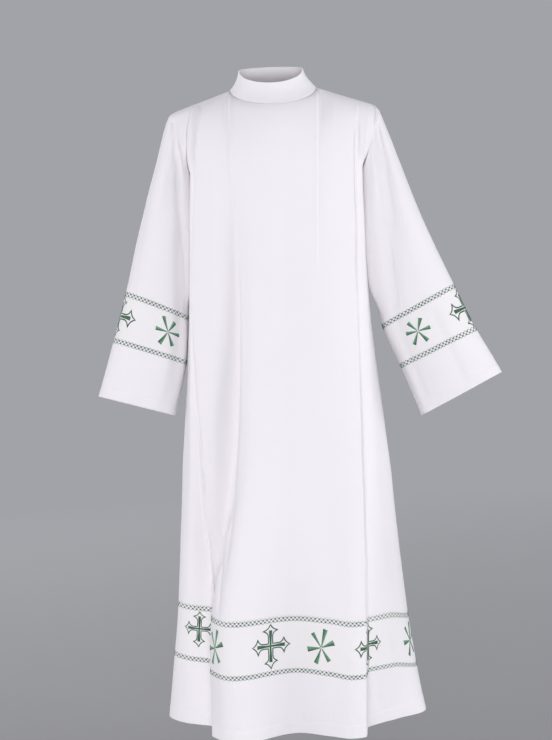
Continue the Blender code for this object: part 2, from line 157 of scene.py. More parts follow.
def steps(start: float, end: float, spacing: float, near: Sequence[float]) -> np.ndarray:
    """Even places between two seams, with some more close to each of them.

    Args:
        start: The first seam.
        end: The second seam.
        spacing: The greatest step between places.
        near: Distances from each seam of the extra places, rising.

    Returns:
        The places, from the first seam's side to the second's.
    """
    way = math.copysign(1.0, end - start)
    first = start + way * near[-1]
    last = end - way * near[-1]
    count = max(int(math.ceil(abs(last - first) / spacing)), 1)
    middle = np.linspace(first, last, count + 1)
    before = [start + way * off for off in near[:-1]]
    after = [end - way * off for off in reversed(near[:-1])]
    return np.concatenate([before, middle, after])


# ---- The garment's lines and sections ----------------------------------------------------


@dataclass(frozen=True)
class Line:
    """A line down the body: how it leaves the top edge, and its place at each level.

    soft is how softly the cloth turns over it, arm how much it follows the armhole, and sag how
    much lower the band hangs there. shoulder is where it starts on the shoulder seam, from the
    neck at 0 to the armhole at 1, and neck how far round the neckline it starts.
    """

    name: str
    soft: float
    arm: float
    sag: float
    shoulder: float
    neck: float
    x: tuple[float, ...]
    y: tuple[float, ...]

    def mirrored(self) -> Line:
        """The same line on the other side of the body."""
        flipped = tuple(-x for x in self.x)
        return Line(self.name + "_left", self.soft, self.arm, 0.0, self.shoulder, self.neck,
                    flipped, self.y)


@dataclass(frozen=True)
class Section:
    """A section of a sleeve: its ends seen from the front, its reach in depth and its fold.

    outer and inner are (x, height) points, and trough is the angle of the long fold in degrees.
    """

    name: str
    outer: tuple[float, float]
    inner: tuple[float, float]
    y: float
    half_depth: float
    trough: float


# fmt: off
FRONT_LINES = (
    #    name            soft arm   sag   shoulder neck, then x and y at chest, waist, knee, band, hem
    Line("left_seam",    1.0, 1.00, -0.009, 1.00, 0.00,
         (-0.190, -0.205, -0.235, -0.260, -0.291), (-0.018, -0.025, -0.035, -0.048, -0.055)),
    Line("left_side",    1.0, 0.50, -0.007, 0.96, 0.00,
         (-0.190, -0.203, -0.218, -0.234, -0.252), (-0.063, -0.078, -0.090, -0.086, -0.114)),
    Line("left_foot",    0.4, 0.12, -0.001, 0.92, 0.00,
         (-0.167, -0.183, -0.198, -0.180, -0.182), (-0.074, -0.086, -0.100, -0.092, -0.150)),
    Line("left_pleat",   0.4, 0.05, 0.000, 0.88, 0.00,
         (-0.178, -0.196, -0.187, -0.175, -0.178), (-0.086, -0.099, -0.108, -0.106, -0.162)),
    Line("left_strip",   1.0, 0.00, 0.000, 0.43, 0.00,
         (-0.142, -0.148, -0.160, -0.172, -0.176), (-0.106, -0.122, -0.111, -0.102, -0.174)),
    Line("left_trough",  0.9, 0.00, 0.000, 0.00, 0.00,
         (-0.102, -0.097, -0.120, -0.169, -0.180), (-0.119, -0.117, -0.104, -0.110, -0.186)),
    Line("left_lip",     1.0, 0.00, 0.000, 0.00, 0.10,
         (-0.089, -0.083, -0.106, -0.175, -0.184), (-0.1225, -0.134, -0.152, -0.178, -0.222)),
    Line("left_bulge",   1.0, 0.00, 0.000, 0.00, 0.28,
         (-0.055, -0.060, -0.085, -0.132, -0.123), (-0.125, -0.143, -0.172, -0.236, -0.276)),
    Line("centre",       1.0, 0.00, 0.000, 0.00, 0.50,
         (0.000, 0.000, 0.000, 0.000, 0.000), (-0.127, -0.143, -0.170, -0.200, -0.219)),
    Line("right_tuck",   1.0, 0.00, 0.003, 0.00, 1.00,
         (0.096, 0.087, 0.080, 0.080, 0.078), (-0.121, -0.139, -0.172, -0.224, -0.250)),
    Line("right_bulge",  1.0, 0.00, 0.007, 0.37, 0.00,
         (0.140, 0.135, 0.130, 0.128, 0.118), (-0.108, -0.130, -0.174, -0.245, -0.270)),
    Line("right_corner", 0.4, 0.05, 0.007, 0.68, 0.00,
         (0.179, 0.173, 0.168, 0.162, 0.151), (-0.088, -0.111, -0.163, -0.238, -0.262)),
    Line("right_foot",   0.4, 0.12, 0.003, 0.76, 0.00,
         (0.186, 0.178, 0.176, 0.167, 0.160), (-0.074, -0.090, -0.130, -0.230, -0.194)),
    Line("right_side",   1.0, 0.50, 0.011, 0.90, 0.00,
         (0.198, 0.201, 0.211, 0.219, 0.232), (-0.060, -0.074, -0.098, -0.160, -0.144)),
    Line("right_seam",   1.0, 1.00, 0.034, 1.00, 0.00,
         (0.196, 0.207, 0.241, 0.268, 0.301), (-0.018, -0.025, -0.040, -0.062, -0.083)),
)
BACK_LINES = (
    Line("back_side",    1.0, 0.50, 0.014, 0.90, 0.00,
         (0.187, 0.196, 0.218, 0.240, 0.262), (0.040, 0.048, 0.060, 0.086, 0.110)),
    Line("back_foot",    0.4, 0.12, 0.007, 0.74, 0.00,
         (0.172, 0.176, 0.180, 0.184, 0.190), (0.066, 0.078, 0.098, 0.122, 0.140)),
    Line("back_pleat",   0.4, 0.05, 0.003, 0.68, 0.00,
         (0.166, 0.169, 0.173, 0.176, 0.180), (0.073, 0.088, 0.120, 0.165, 0.190)),
    Line("back_bulge",   1.0, 0.00, 0.000, 0.32, 0.00,
         (0.126, 0.126, 0.126, 0.128, 0.130), (0.095, 0.110, 0.150, 0.208, 0.240)),
    Line("back_neck",    1.0, 0.00, 0.000, 0.00, 0.00,
         (0.092, 0.084, 0.078, 0.074, 0.072), (0.107, 0.118, 0.146, 0.190, 0.214)),
    Line("back_centre",  1.0, 0.00, 0.000, 0.00, 0.50,
         (0.000, 0.000, 0.000, 0.000, 0.000), (0.114, 0.121, 0.142, 0.172, 0.190)),
)
SLEEVE_LEFT = (
    #        name          outer             inner             y    half_depth trough
    Section("shoulder",    (-0.233, -0.053), (-0.194, -0.197),  0.000, 0.060, 125),
    Section("upper_arm",   (-0.273, -0.172), (-0.197, -0.250), -0.006, 0.066,  78),
    Section("elbow",       (-0.312, -0.306), (-0.202, -0.370), -0.014, 0.064,  58),
    Section("band_top",    (-0.349, -0.450), (-0.209, -0.511), -0.022, 0.058,  42),
    Section("band_bottom", (-0.381, -0.554), (-0.219, -0.611), -0.028, 0.055,  42),
    Section("cuff_edge",   (-0.4215, -0.683), (-0.249, -0.733), -0.034, 0.052,  46),
)
SLEEVE_RIGHT = (
    Section("shoulder",    (0.244, -0.059), (0.202, -0.200),  0.000, 0.060, 92),
    Section("upper_arm",   (0.287, -0.180), (0.202, -0.262), -0.006, 0.066, 88),
    Section("elbow",       (0.334, -0.306), (0.205, -0.380), -0.014, 0.066, 78),
    Section("band_top",    (0.402, -0.463), (0.235, -0.549), -0.022, 0.060, 66),
    Section("band_bottom", (0.449, -0.563), (0.275, -0.642), -0.028, 0.057, 58),
    Section("cuff_edge",   (0.502, -0.661), (0.316, -0.754), -0.034, 0.054, 56),
)
# fmt: on

CHEST = -0.185
BAND_TOP = -1.168
BAND_BOTTOM = -1.290
HEM = -1.430
LEVELS = (CHEST, -0.500, -0.850, BAND_TOP, HEM)
LINES = FRONT_LINES + BACK_LINES + tuple(line.mirrored() for line in BACK_LINES[-2::-1])
COUNT = len(LINES)
NAMES = [line.name for line in LINES]
RIGHT_SEAM = len(FRONT_LINES) - 1
NECK_LEFT = NAMES.index("left_trough")
NECK_RIGHT = NAMES.index("right_tuck")
NECK_BACK_RIGHT = NAMES.index("back_neck")
NECK_BACK_LEFT = NAMES.index("back_neck_left")


@dataclass(frozen=True)
class CollarCut:
    """The collar's top edge and how it flares towards its seam."""

    half_width: float = 0.074
    front: float = 0.056
    back: float = 0.062
    side_height: float = 0.045
    front_height: float = 0.011
    back_height: float = 0.056
    flare_power: float = 1.7


@dataclass(frozen=True)
class BodyLoft:
    """The closed surface of the body through its lines, with the yoke above the chest."""

    neck_centre: float = 0.004
    neck_half_width: float = 0.098
    neck_front: float = 0.075
    neck_back: float = 0.078
    neck_front_drop: float = 0.036
    neck_back_rise: float = 0.022
    shoulder_slope: float = 0.34
    armhole_top_left: float = -0.172
    armhole_top_right: float = 0.225
    shoulder_leaves: tuple[float, ...] = (0.0, 0.17, 0.0)
    shoulder_arrives: float = 0.26
    neck_point_leaves: tuple[float, ...] = (0.07, 0.11, -0.010)
    neck_point_reach: float = 0.3
    neck_leaves: tuple[float, ...] = (0.0, 0.06, -0.05)
    neck_arrives: float = 0.17
    armhole_leaves: tuple[tuple[float, ...], ...] = ((0.060, 0.185, 0.0), (0.060, 0.220, 0.0))
    armhole_arrives: tuple[tuple[float, ...], ...] = (
        (-0.045, -0.220, -0.040),
        (-0.045, -0.240, -0.040),
    )
    sag_shares: tuple[float, ...] = (0.0, 1.0, 1.0, 0.15, 0.0)
    tangent_step: float = 0.01

    def straight(self, values: Sequence[float], places: np.ndarray) -> np.ndarray:
        """Values of the lines at places between them, in even steps.

        Args:
            values: One value for each line.
            places: Places round the body.

        Returns:
            The values at those places.
        """
        table = np.array(values)
        i = np.floor(places).astype(int)
        share = places - i
        return table[i % COUNT] * (1 - share) + table[(i + 1) % COUNT] * share

    def rings(self, levels: np.ndarray) -> np.ndarray:
        """The points of every line at some heights, as (levels, lines, 3).

        Args:
            levels: The heights.

        Returns:
            The points.
        """
        knots = -np.array(LEVELS)
        table = np.array([list(zip(line.x, line.y)) for line in LINES])
        flat = smooth_through(knots, table, -levels).transpose(1, 0, 2)
        sag = np.array([line.sag for line in LINES])
        sag_knots = (HEM, BAND_BOTTOM, BAND_TOP, LEVELS[2], CHEST)
        share = np.interp(levels, sag_knots, self.sag_shares)
        height = levels[:, None] - sag[None, :] * share[:, None]
        return np.concatenate([flat, height[:, :, None]], axis=2)

    def between(self, rings: np.ndarray, places: np.ndarray) -> np.ndarray:
        """Points between the lines of each ring: place 2.5 is halfway from line 2 to line 3.

        Args:
            rings: The lines' points on each ring.
            places: Places round the body.

        Returns:
            The points, as (rings, places, 3).
        """
        soft = np.array([line.soft for line in LINES])
        i = np.floor(places).astype(int)
        share = (places - i)[:, None]
        before, start, end, after = (rings[:, (i + step) % COUNT] for step in (-1, 0, 1, 2))
        span = np.linalg.norm(end - start, axis=-1, keepdims=True)
        leaves = unit(end - before) * span * soft[i % COUNT][:, None]
        arrives = unit(after - start) * span * soft[(i + 1) % COUNT][:, None]
        return hermite(start, end, leaves, arrives, share)

    def body(self, places: np.ndarray, levels: np.ndarray) -> np.ndarray:
        """Points of the body below the chest, as (levels, places, 3)."""
        return self.between(self.rings(levels), places)

    def neck_angles(self, places: np.ndarray, front: bool) -> tuple[np.ndarray, np.ndarray]:
        """Which places start on the neckline, and how far round it each of them lies.

        Args:
            places: Places round the body.
            front: Whether they lie on the front panel.

        Returns:
            A mask of the places on the neckline, and angles from 0 to pi.
        """
        neck = np.array([line.neck for line in LINES])
        neck[NECK_BACK_LEFT] = 1.0
        first, last = (NECK_LEFT, NECK_RIGHT) if front else (NECK_BACK_RIGHT, NECK_BACK_LEFT)
        return (places >= first) & (places <= last), math.pi * self.straight(neck, places)

    def top_edge(self, places: np.ndarray, front: bool) -> np.ndarray:
        """Where the columns start, on the neckline or on the shoulder seam, as (places, 3).

        Args:
            places: Places round the body.
            front: Whether this is the front panel.

        Returns:
            The points.
        """
        on_neck, angle = self.neck_angles(places, front)
        left = (places < NECK_LEFT) | (places > NECK_BACK_LEFT)
        armhole_top = np.where(left, self.armhole_top_left, self.armhole_top_right)
        neck_point = self.neck_centre + np.copysign(self.neck_half_width, armhole_top)
        share = self.straight([line.shoulder for line in LINES], places)
        from_neck = (armhole_top - neck_point) * share
        fall = -self.shoulder_slope * abs(from_neck)
        seam = np.stack([neck_point + from_neck, 0 * share, fall], axis=1)
        away = np.sin(angle)
        across = self.neck_half_width * np.cos(angle) * (-1 if front else 1)
        reach = -self.neck_front if front else self.neck_back
        rise = -self.neck_front_drop if front else self.neck_back_rise
        neck = np.stack([self.neck_centre + across, reach * away, rise * away], axis=1)
        return np.where(on_neck[:, None], neck, seam)

    def yoke(self, places: np.ndarray, shares: np.ndarray, front: bool) -> np.ndarray:
        """Points between the top edge and the chest.

        Args:
            places: Places round the body.
            shares: How far down, 0 at the top edge and 1 at the chest.
            front: Whether this is the front panel.

        Returns:
            The points, as (shares, places, 3).
        """
        start = self.top_edge(places, front)
        side = np.where(start[:, 0] >= self.neck_centre, 1.0, -1.0)
        ones = np.ones_like(side)
        outward = np.stack([side, ones * (-1 if front else 1), ones], axis=1)
        chest = self.body(places, np.array([CHEST, CHEST - self.tangent_step]))
        end = chest[0]
        down = unit(chest[1] - chest[0])
        on_neck, angle = self.neck_angles(places, front)
        neck = np.where(on_neck, np.sin(angle), 0.0)[:, None]
        share = self.straight([line.shoulder for line in LINES], places)
        from_neck = np.minimum(share / self.neck_point_reach, 1.0)[:, None]
        from_neck = np.where(on_neck[:, None], 0.0, from_neck)
        point_leaves = np.array(self.neck_point_leaves)
        leaves = point_leaves * (1 - from_neck) + np.array(self.shoulder_leaves) * from_neck
        leaves = leaves * (1 - neck) + np.array(self.neck_leaves) * neck
        arrives = down * (self.shoulder_arrives * (1 - neck) + self.neck_arrives * neck)
        arm = self.straight([line.arm for line in LINES], places)[:, None]
        panel = 0 if front else 1
        leaves = (leaves * (1 - arm) + np.array(self.armhole_leaves[panel]) * arm) * outward
        arm_arrives = np.array(self.armhole_arrives[panel]) * outward
        arrives = arrives * (1 - arm) + arm_arrives * arm
        return hermite(start, end, leaves, arrives, shares[:, None, None])

    def collar(self, places: np.ndarray, front: bool, shares: np.ndarray,
               top: CollarCut) -> np.ndarray:
        """Points of half the collar, from its top edge at share 0 to the neckline at 1.

        Args:
            places: Places round the body.
            front: Whether this is the front half.
            shares: How far down.
            top: The collar's cut.

        Returns:
            The points, as (shares, places, 3).
        """
        bottom = self.top_edge(places, front)
        _, angle = self.neck_angles(places, front)
        away = np.sin(angle)
        across = top.half_width * np.cos(angle) * (-1 if front else 1)
        reach = -top.front if front else top.back
        height = top.front_height if front else top.back_height
        rise = top.side_height + (height - top.side_height) * away
        upper = np.stack([across, reach * away, rise], axis=1)
        flare = shares**top.flare_power
        down = np.stack([flare, flare, shares], axis=1)[:, None, :]
        return upper + (bottom - upper) * down


@dataclass(frozen=True)
class SleeveLoft:
    """A sleeve from its armhole through its sections, as rings of points."""

    body: BodyLoft
    left: bool
    sections: tuple[Section, ...]
    columns: int = 47
    section_power: float = 2.3
    inner_power: float = 3.4
    front_lift: float = 0.008
    fold_depth: float = 0.008
    fold_half_angle: float = 30.0
    inset: float = 0.2
    turn_power: int = 6
    gap: float = 0.0004
    near: float = 0.003
    shoulder_ring: int = 2
    shoulder_softness: float = 0.45

    def shares(self) -> np.ndarray:
        """How far down the armhole each column of one half starts: 0 at its top, 1 at the armpit."""
        return np.linspace(0.0, 1.0, self.columns)

    def angles(self) -> np.ndarray:
        """Each column's angle: 0 at the inner end, a quarter turn at the front."""
        front = math.pi * (1 - self.shares()[::-1])
        return np.concatenate([front, 2 * math.pi - front[-2::-1]])

    def armhole(self, inset: float) -> np.ndarray:
        """Points up the armhole's front edge and down its back edge.

        Args:
            inset: How far inside the body's panels to read them.

        Returns:
            The points.
        """
        nudge = inset + 1e-6
        front = inset if self.left else RIGHT_SEAM - inset
        back = COUNT - nudge if self.left else RIGHT_SEAM + nudge
        shares = self.shares()
        up = self.body.yoke(np.array([front]), shares[::-1], True)[:, 0]
        down = self.body.yoke(np.array([back]), shares[1:], False)[:, 0]
        return np.concatenate([up, down])

    def section_ring(self, section: Section) -> np.ndarray:
        """The points of one section, with the dip of its long front fold.

        Args:
            section: The section.

        Returns:
            The points.
        """
        outer = np.array((section.outer[0], section.y, section.outer[1]))
        inner = np.array((section.inner[0], section.y, section.inner[1]))
        forward = np.array((0.0, -section.half_depth, self.front_lift))
        angles = self.angles()
        power = 2 / np.where(np.cos(angles) > 0, self.inner_power, self.section_power)
        across = np.sign(np.cos(angles)) * abs(np.cos(angles)) ** power
        ahead = np.sign(np.sin(angles)) * abs(np.sin(angles)) ** power
        point = (inner - outer) / 2 * across[:, None] + forward * ahead[:, None]
        off = np.degrees(angles) - section.trough
        dip = self.fold_depth * np.exp(-2 * (off / self.fold_half_angle) ** 2)
        reach = np.linalg.norm(point, axis=1)
        return (outer + inner) / 2 + point * (1 - dip / reach)[:, None]

    def rings(self) -> np.ndarray:
        """The armhole, a ring just outside it and every section, as (rings, columns, 3).

        Returns:
            The points.
        """
        start = self.armhole(0.0)
        sections = [self.section_ring(section) for section in self.sections]
        in_line = unit(start - self.armhole(self.inset))
        turn = np.sin(self.angles() / 2)[:, None] ** self.turn_power
        away = unit(unit(sections[0] - start) * (1 - turn) + in_line * turn)
        return np.array([start + away * self.gap, start + away * self.near] + sections)

    def row(self, rings: np.ndarray, place: float) -> np.ndarray:
        """Points of the sleeve at a place: 2.5 is halfway from ring 2 to ring 3.

        Args:
            rings: The rings.
            place: The place.

        Returns:
            The points.
        """
        i = min(int(place), len(rings) - 2)
        before, start, end = rings[max(i - 1, 0)], rings[i], rings[i + 1]
        after = rings[min(i + 2, len(rings) - 1)]
        span = np.linalg.norm(end - start, axis=1)[:, None]
        start_soft = self.shoulder_softness if i == self.shoulder_ring else 1.0
        end_soft = self.shoulder_softness if i + 1 == self.shoulder_ring else 1.0
        leaves = unit(end - before) * span * start_soft
        arrives = unit(after - start) * span * end_soft
        return hermite(start, end, leaves, arrives, place - i)


# ---- Folds -------------------------------------------------------------------------------


@dataclass
class Grid:
    """A sheet of cloth as a grid of points, with the two coordinates that place its folds.

    around and along are read by the folds: x and height on the body, the angle in degrees and
    the place down the rings on a sleeve. arc and run are real lengths on the cloth.
    """

    points: np.ndarray
    around: np.ndarray
    along: np.ndarray
    turned: bool = False
    closed: bool = False
    stretch_limit: float = 4.0
    normals: np.ndarray = field(init=False)
    across: np.ndarray = field(init=False)
    arc: np.ndarray = field(init=False)
    run: np.ndarray = field(init=False)

    def __post_init__(self) -> None:
        """Measures the surface."""
        self.measure()

    def measure(self) -> None:
        """Works out the normals, the direction across and the lengths on the cloth."""
        points = self.points
        across = np.gradient(points, axis=1)
        if self.closed:
            ends = points[:, 1] - points[:, -2]
            across[:, 0] = ends / 2
            across[:, -1] = ends / 2
        down = np.gradient(points, axis=0)
        normals = unit(np.cross(down, across))
        self.normals = -normals if self.turned else normals
        self.across = unit(across)
        wide = np.linalg.norm(np.diff(points, axis=1), axis=2)
        self.arc = np.concatenate([np.zeros((len(points), 1)), np.cumsum(wide, axis=1)], axis=1)
        long = np.linalg.norm(np.diff(points, axis=0), axis=2)
        zero = np.zeros((1, points.shape[1]))
        self.run = np.concatenate([zero, np.cumsum(long, axis=0)], axis=0)

    def stretch(self) -> tuple[np.ndarray, np.ndarray]:
        """Metres of cloth for one unit of each fold coordinate, kept to sensible limits.

        Returns:
            The metres across and the metres down, at every point.
        """
        limited = []
        for length, place, axis in ((self.arc, self.around, 1), (self.run, self.along, 0)):
            step = np.maximum(abs(np.gradient(place, axis=axis)), 1e-7)
            metres = np.gradient(length, axis=axis) / step
            limited.append(np.minimum(metres, self.stretch_limit * np.median(metres)))
        return limited[0], limited[1]

    def part(self, rows: slice) -> Grid:
        """Some rows of this sheet, as a sheet of its own.

        Args:
            rows: The rows.

        Returns:
            The new sheet.
        """
        cut = Grid(self.points[rows], self.around[rows], self.along[rows], self.turned, self.closed)
        cut.normals = self.normals[rows]
        return cut


class Fold(Enum):
    """What a fold is: a raised ridge, a sunk trough, or a lap, named for the side below."""

    RIDGE = 1
    TROUGH = 2
    LAP_LEFT = 3
    LAP_RIGHT = 4


@dataclass(frozen=True)
class Crease:
    """One long fold.

    path holds (along, around) knots from its top to its bottom. width is how far it dies out on
    the left and on the right, in metres, round how round its middle is, and fade how long its
    two ends take to rise. A lap's upper side reaches over its lower side by `over`.
    """

    kind: Fold
    path: tuple[tuple[float, float], ...]
    depth: float
    width: tuple[float, float]
    round: float = 0.002
    fade: tuple[float, float] = (0.06, 0.06)
    over: float = 0.0

    def lay(self, grid: Grid, stretch: tuple[np.ndarray, np.ndarray], lift: np.ndarray,
            slide: np.ndarray) -> None:
        """Adds this fold to the moves of a sheet's points.

        Args:
            grid: The sheet.
            stretch: Metres for one unit of around and of along.
            lift: Moves along the normals, added to.
            slide: Moves across the sheet, added to.
        """
        knots = np.array(self.path)
        order = np.argsort(knots[:, 0])
        at, middle = knots[order, 0], knots[order, 1]
        off = (grid.around - np.interp(grid.along, at, middle)) * stretch[0]
        scale = float(np.median(stretch[1]))
        top = abs(grid.along - self.path[0][0]) * scale
        bottom = abs(grid.along - self.path[-1][0]) * scale
        inside = (grid.along - at[0]) * (grid.along - at[-1]) <= 0
        fade = smooth_step(0, self.fade[0], top) * smooth_step(0, self.fade[1], bottom) * inside
        width = np.where(off < 0, self.width[0], self.width[1])
        soft = np.sqrt(off * off + self.round * self.round) - self.round
        form = np.exp(-soft / width)
        if self.kind is Fold.RIDGE:
            lift += self.depth * form * fade
        elif self.kind is Fold.TROUGH:
            lift -= self.depth * form * fade
        else:
            under = -1 if self.kind is Fold.LAP_LEFT else 1
            edge = 0.5 + 0.5 * np.tanh(under * off / LAP_EDGE)
            lift -= self.depth * form * edge * fade
            slide += under * self.over * form * (1 - edge) * fade


@dataclass(frozen=True)
class Wrinkle:
    """A short crease between two (along, around) points, highest in its middle."""

    start: tuple[float, float]
    end: tuple[float, float]
    height: float
    width: float
    fullness: float = 0.7

    def lay(self, grid: Grid, stretch: tuple[np.ndarray, np.ndarray], lift: np.ndarray,
            slide: np.ndarray) -> None:
        """Adds this wrinkle to the moves of a sheet's points.

        Args:
            grid: The sheet.
            stretch: Metres for one unit of around and of along.
            lift: Moves along the normals, added to.
            slide: Moves across the sheet, unchanged.
        """
        east = (grid.around - self.start[1]) * stretch[0]
        north = (grid.along - self.start[0]) * stretch[1]
        way_east = (self.end[1] - self.start[1]) * stretch[0]
        way_north = (self.end[0] - self.start[0]) * stretch[1]
        length = np.maximum(way_east**2 + way_north**2, 1e-9)
        share = np.clip((east * way_east + north * way_north) / length, 0, 1)
        away = np.hypot(east - share * way_east, north - share * way_north)
        along = np.sin(np.pi * share) ** self.fullness
        lift += self.height * np.exp(-((away / self.width) ** 2)) * along


@dataclass(frozen=True)
class Unevenness:
    """The slight waviness that all the cloth shares, as sums of waves in space.

    bands holds the length, the height and the number of some waves, upright is how much they
    change with height, and spread the least and the most that a length is multiplied by.
    """

    seed: int = 7
    bands: tuple[tuple[float, float, int], ...] = (
        (0.30, 0.0011, 7),
        (0.12, 0.00045, 9),
        (0.045, 0.00010, 12),
    )
    upright: float = 0.38
    spread: tuple[float, float] = (0.7, 1.4)
    gain: float = 1.4

    def height(self, points: np.ndarray) -> np.ndarray:
        """How far the cloth stands out at each point.

        Args:
            points: The points.

        Returns:
            The heights.
        """
        rng = np.random.default_rng(self.seed)
        total = np.zeros(points.shape[:-1])
        for length, size, count in self.bands:
            for _ in range(count):
                way = unit(rng.normal(size=3) * (1.0, 1.0, self.upright))
                wave = 2 * math.pi / (length * rng.uniform(*self.spread))
                phase = rng.uniform(0, 2 * math.pi)
                total += size * np.sin(points @ way * wave + phase) / math.sqrt(count) * self.gain
        return total


def fold(grid: Grid, folds: Iterable[Crease | Wrinkle], free: np.ndarray | float,
         waves: Unevenness) -> None:
    """Lays folds on a sheet and measures it again.

    Args:
        grid: The sheet, whose points are moved.
        folds: The folds.
        free: How free the cloth is at each point, 0 along a seam that holds it.
        waves: The cloth's unevenness.
    """
    stretch = grid.stretch()
    lift = waves.height(grid.points)
    slide = np.zeros_like(lift)
    for one in folds:
        one.lay(grid, stretch, lift, slide)
    rightwards = np.sign(np.gradient(grid.around, axis=1))
    grid.points = (
        grid.points + grid.normals * (lift * free)[..., None]
        + grid.across * (slide * rightwards * free)[..., None]
    )
    grid.measure()


# ---- Shader nodes ------------------------------------------------------------------------


class Value:
    """A shader's number, on which Python's arithmetic adds Math nodes."""

    def __init__(self, tree: Nodes, socket: bpy.types.NodeSocket) -> None:
        """Wraps a socket of a node tree."""
        self.tree = tree
        self.socket = socket

    def sum(self, operation: str, *others: Value | float) -> Value:
        """A Math node on this value and others.

        Args:
            operation: The node's operation.
            others: Its other inputs.

        Returns:
            The node's output.
        """
        inputs = dict(enumerate((self, *others)))
        node = self.tree.node("ShaderNodeMath", inputs, {"operation": operation})
        return Value(self.tree, node.outputs[0])

    def __add__(self, other: Value | float) -> Value:
        """The sum of two values."""
        return self.sum("ADD", other)

    def __mul__(self, other: Value | float) -> Value:
        """The product of two values."""
        return self.sum("MULTIPLY", other)

    def __sub__(self, other: Value | float) -> Value:
        """The difference of two values."""
        return self.sum("SUBTRACT", other)

    def __truediv__(self, other: float) -> Value:
        """This value divided by a number."""
        return self.sum("MULTIPLY", 1.0 / other)

    def held(self) -> Value:
        """This value kept between 0 and 1."""
        return self.sum("MAXIMUM", 0.0).sum("MINIMUM", 1.0)


class Nodes:
    """A material's node tree, cleared, with one method that adds any node."""

    def __init__(self, name: str) -> None:
        """Makes the material.

        Args:
            name: The material's name.
        """
        self.material = bpy.data.materials.new(name)
        self.material.use_nodes = True
        self.tree = self.material.node_tree
        self.tree.nodes.clear()

    def node(self, kind: str, inputs: dict[str | int, object] | None = None,
             settings: dict[str, object] | None = None) -> bpy.types.Node:
        """Adds a node.

        Args:
            kind: The node's type.
            inputs: Values or links of its sockets.
            settings: Its settings, which are set first.

        Returns:
            The node.
        """
        node = self.tree.nodes.new(kind)
        for key, value in (settings or {}).items():
            setattr(node, key, value)
        for key, value in (inputs or {}).items():
            if isinstance(value, Value):
                self.tree.links.new(value.socket, node.inputs[key])
            elif isinstance(value, bpy.types.NodeSocket):
                self.tree.links.new(value, node.inputs[key])
            else:
                node.inputs[key].default_value = value
        return node

    def coordinate(self, output: str) -> bpy.types.NodeSocket:
        """A texture coordinate."""
        return self.node("ShaderNodeTexCoord").outputs[output]

    def noise(self, vector: bpy.types.NodeSocket, scale: float, detail: float = 2.0) -> Value:
        """A noise from 0 to 1."""
        inputs = {"Vector": vector, "Scale": scale, "Detail": detail}
        return Value(self, self.node("ShaderNodeTexNoise", inputs).outputs["Fac"])

    def mix(self, share: Value, first: Sequence[float],
            second: Sequence[float]) -> bpy.types.NodeSocket:
        """A colour between two others."""
        inputs = {0: share, 6: (*first, 1.0), 7: (*second, 1.0)}
        return self.node("ShaderNodeMix", inputs, {"data_type": "RGBA"}).outputs[2]

    def bump(self, height: Value) -> bpy.types.NodeSocket:
        """Normals of a surface with a height in metres on it."""
        inputs = {"Strength": 1.0, "Distance": 1.0, "Height": height}
        return self.node("ShaderNodeBump", inputs).outputs[0]

    def output(self, surface: bpy.types.Node) -> bpy.types.Material:
        """Links the surface to the material's output."""
        self.node("ShaderNodeOutputMaterial", {"Surface": surface.outputs[0]})
        return self.material


@dataclass(frozen=True)
class ClothFinish:
    """Woven cloth: plain weave, soft slubs, a faint change of tone and a fuzz of sheen."""

    name: str
    colour: tuple[float, float, float]
    shade: tuple[float, float, float]
    pitch: float = 0.0009
    weave_depth: float = 0.00006
    slub_depth: float = 0.00012
    slub_scale: tuple[float, float, float] = (900.0, 60.0, 1.0)
    broad_tone: tuple[float, float] = (6.0, 0.6)
    fine_tone: tuple[float, float] = (60.0, 0.4)
    roughness: float = 0.78
    roughness_range: float = 0.08
    roughness_scale: float = 24.0
    sheen: float = 0.12
    sheen_roughness: float = 0.45
    specular: float = 0.25

    def material(self) -> bpy.types.Material:
        """Builds the material.

        Returns:
            The material.
        """
        nodes = Nodes(self.name)
        uv = nodes.coordinate("UV")
        place = nodes.coordinate("Object")
        split = nodes.node("ShaderNodeSeparateXYZ", {0: uv})
        turn = 2 * math.pi / self.pitch
        weft = (Value(nodes, split.outputs[0]) * turn).sum("SINE")
        warp = (Value(nodes, split.outputs[1]) * turn).sum("SINE")
        slub_place = nodes.node("ShaderNodeMapping", {"Vector": uv, "Scale": self.slub_scale})
        slubs = nodes.noise(slub_place.outputs[0], 1.0, 3.0)
        height = weft * warp * self.weave_depth + slubs * self.slub_depth
        broad = nodes.noise(place, self.broad_tone[0], 3.0) * self.broad_tone[1]
        tone = broad + nodes.noise(place, self.fine_tone[0]) * self.fine_tone[1]
        least = self.roughness - self.roughness_range / 2
        rough = nodes.noise(place, self.roughness_scale) * self.roughness_range + least
        surface = nodes.node("ShaderNodeBsdfPrincipled", {
            "Base Color": nodes.mix(tone, self.shade, self.colour),
            "Roughness": rough,
            "Sheen Weight": self.sheen,
            "Sheen Roughness": self.sheen_roughness,
            "Specular IOR Level": self.specular,
            "Normal": nodes.bump(height),
        })
        return nodes.output(surface)


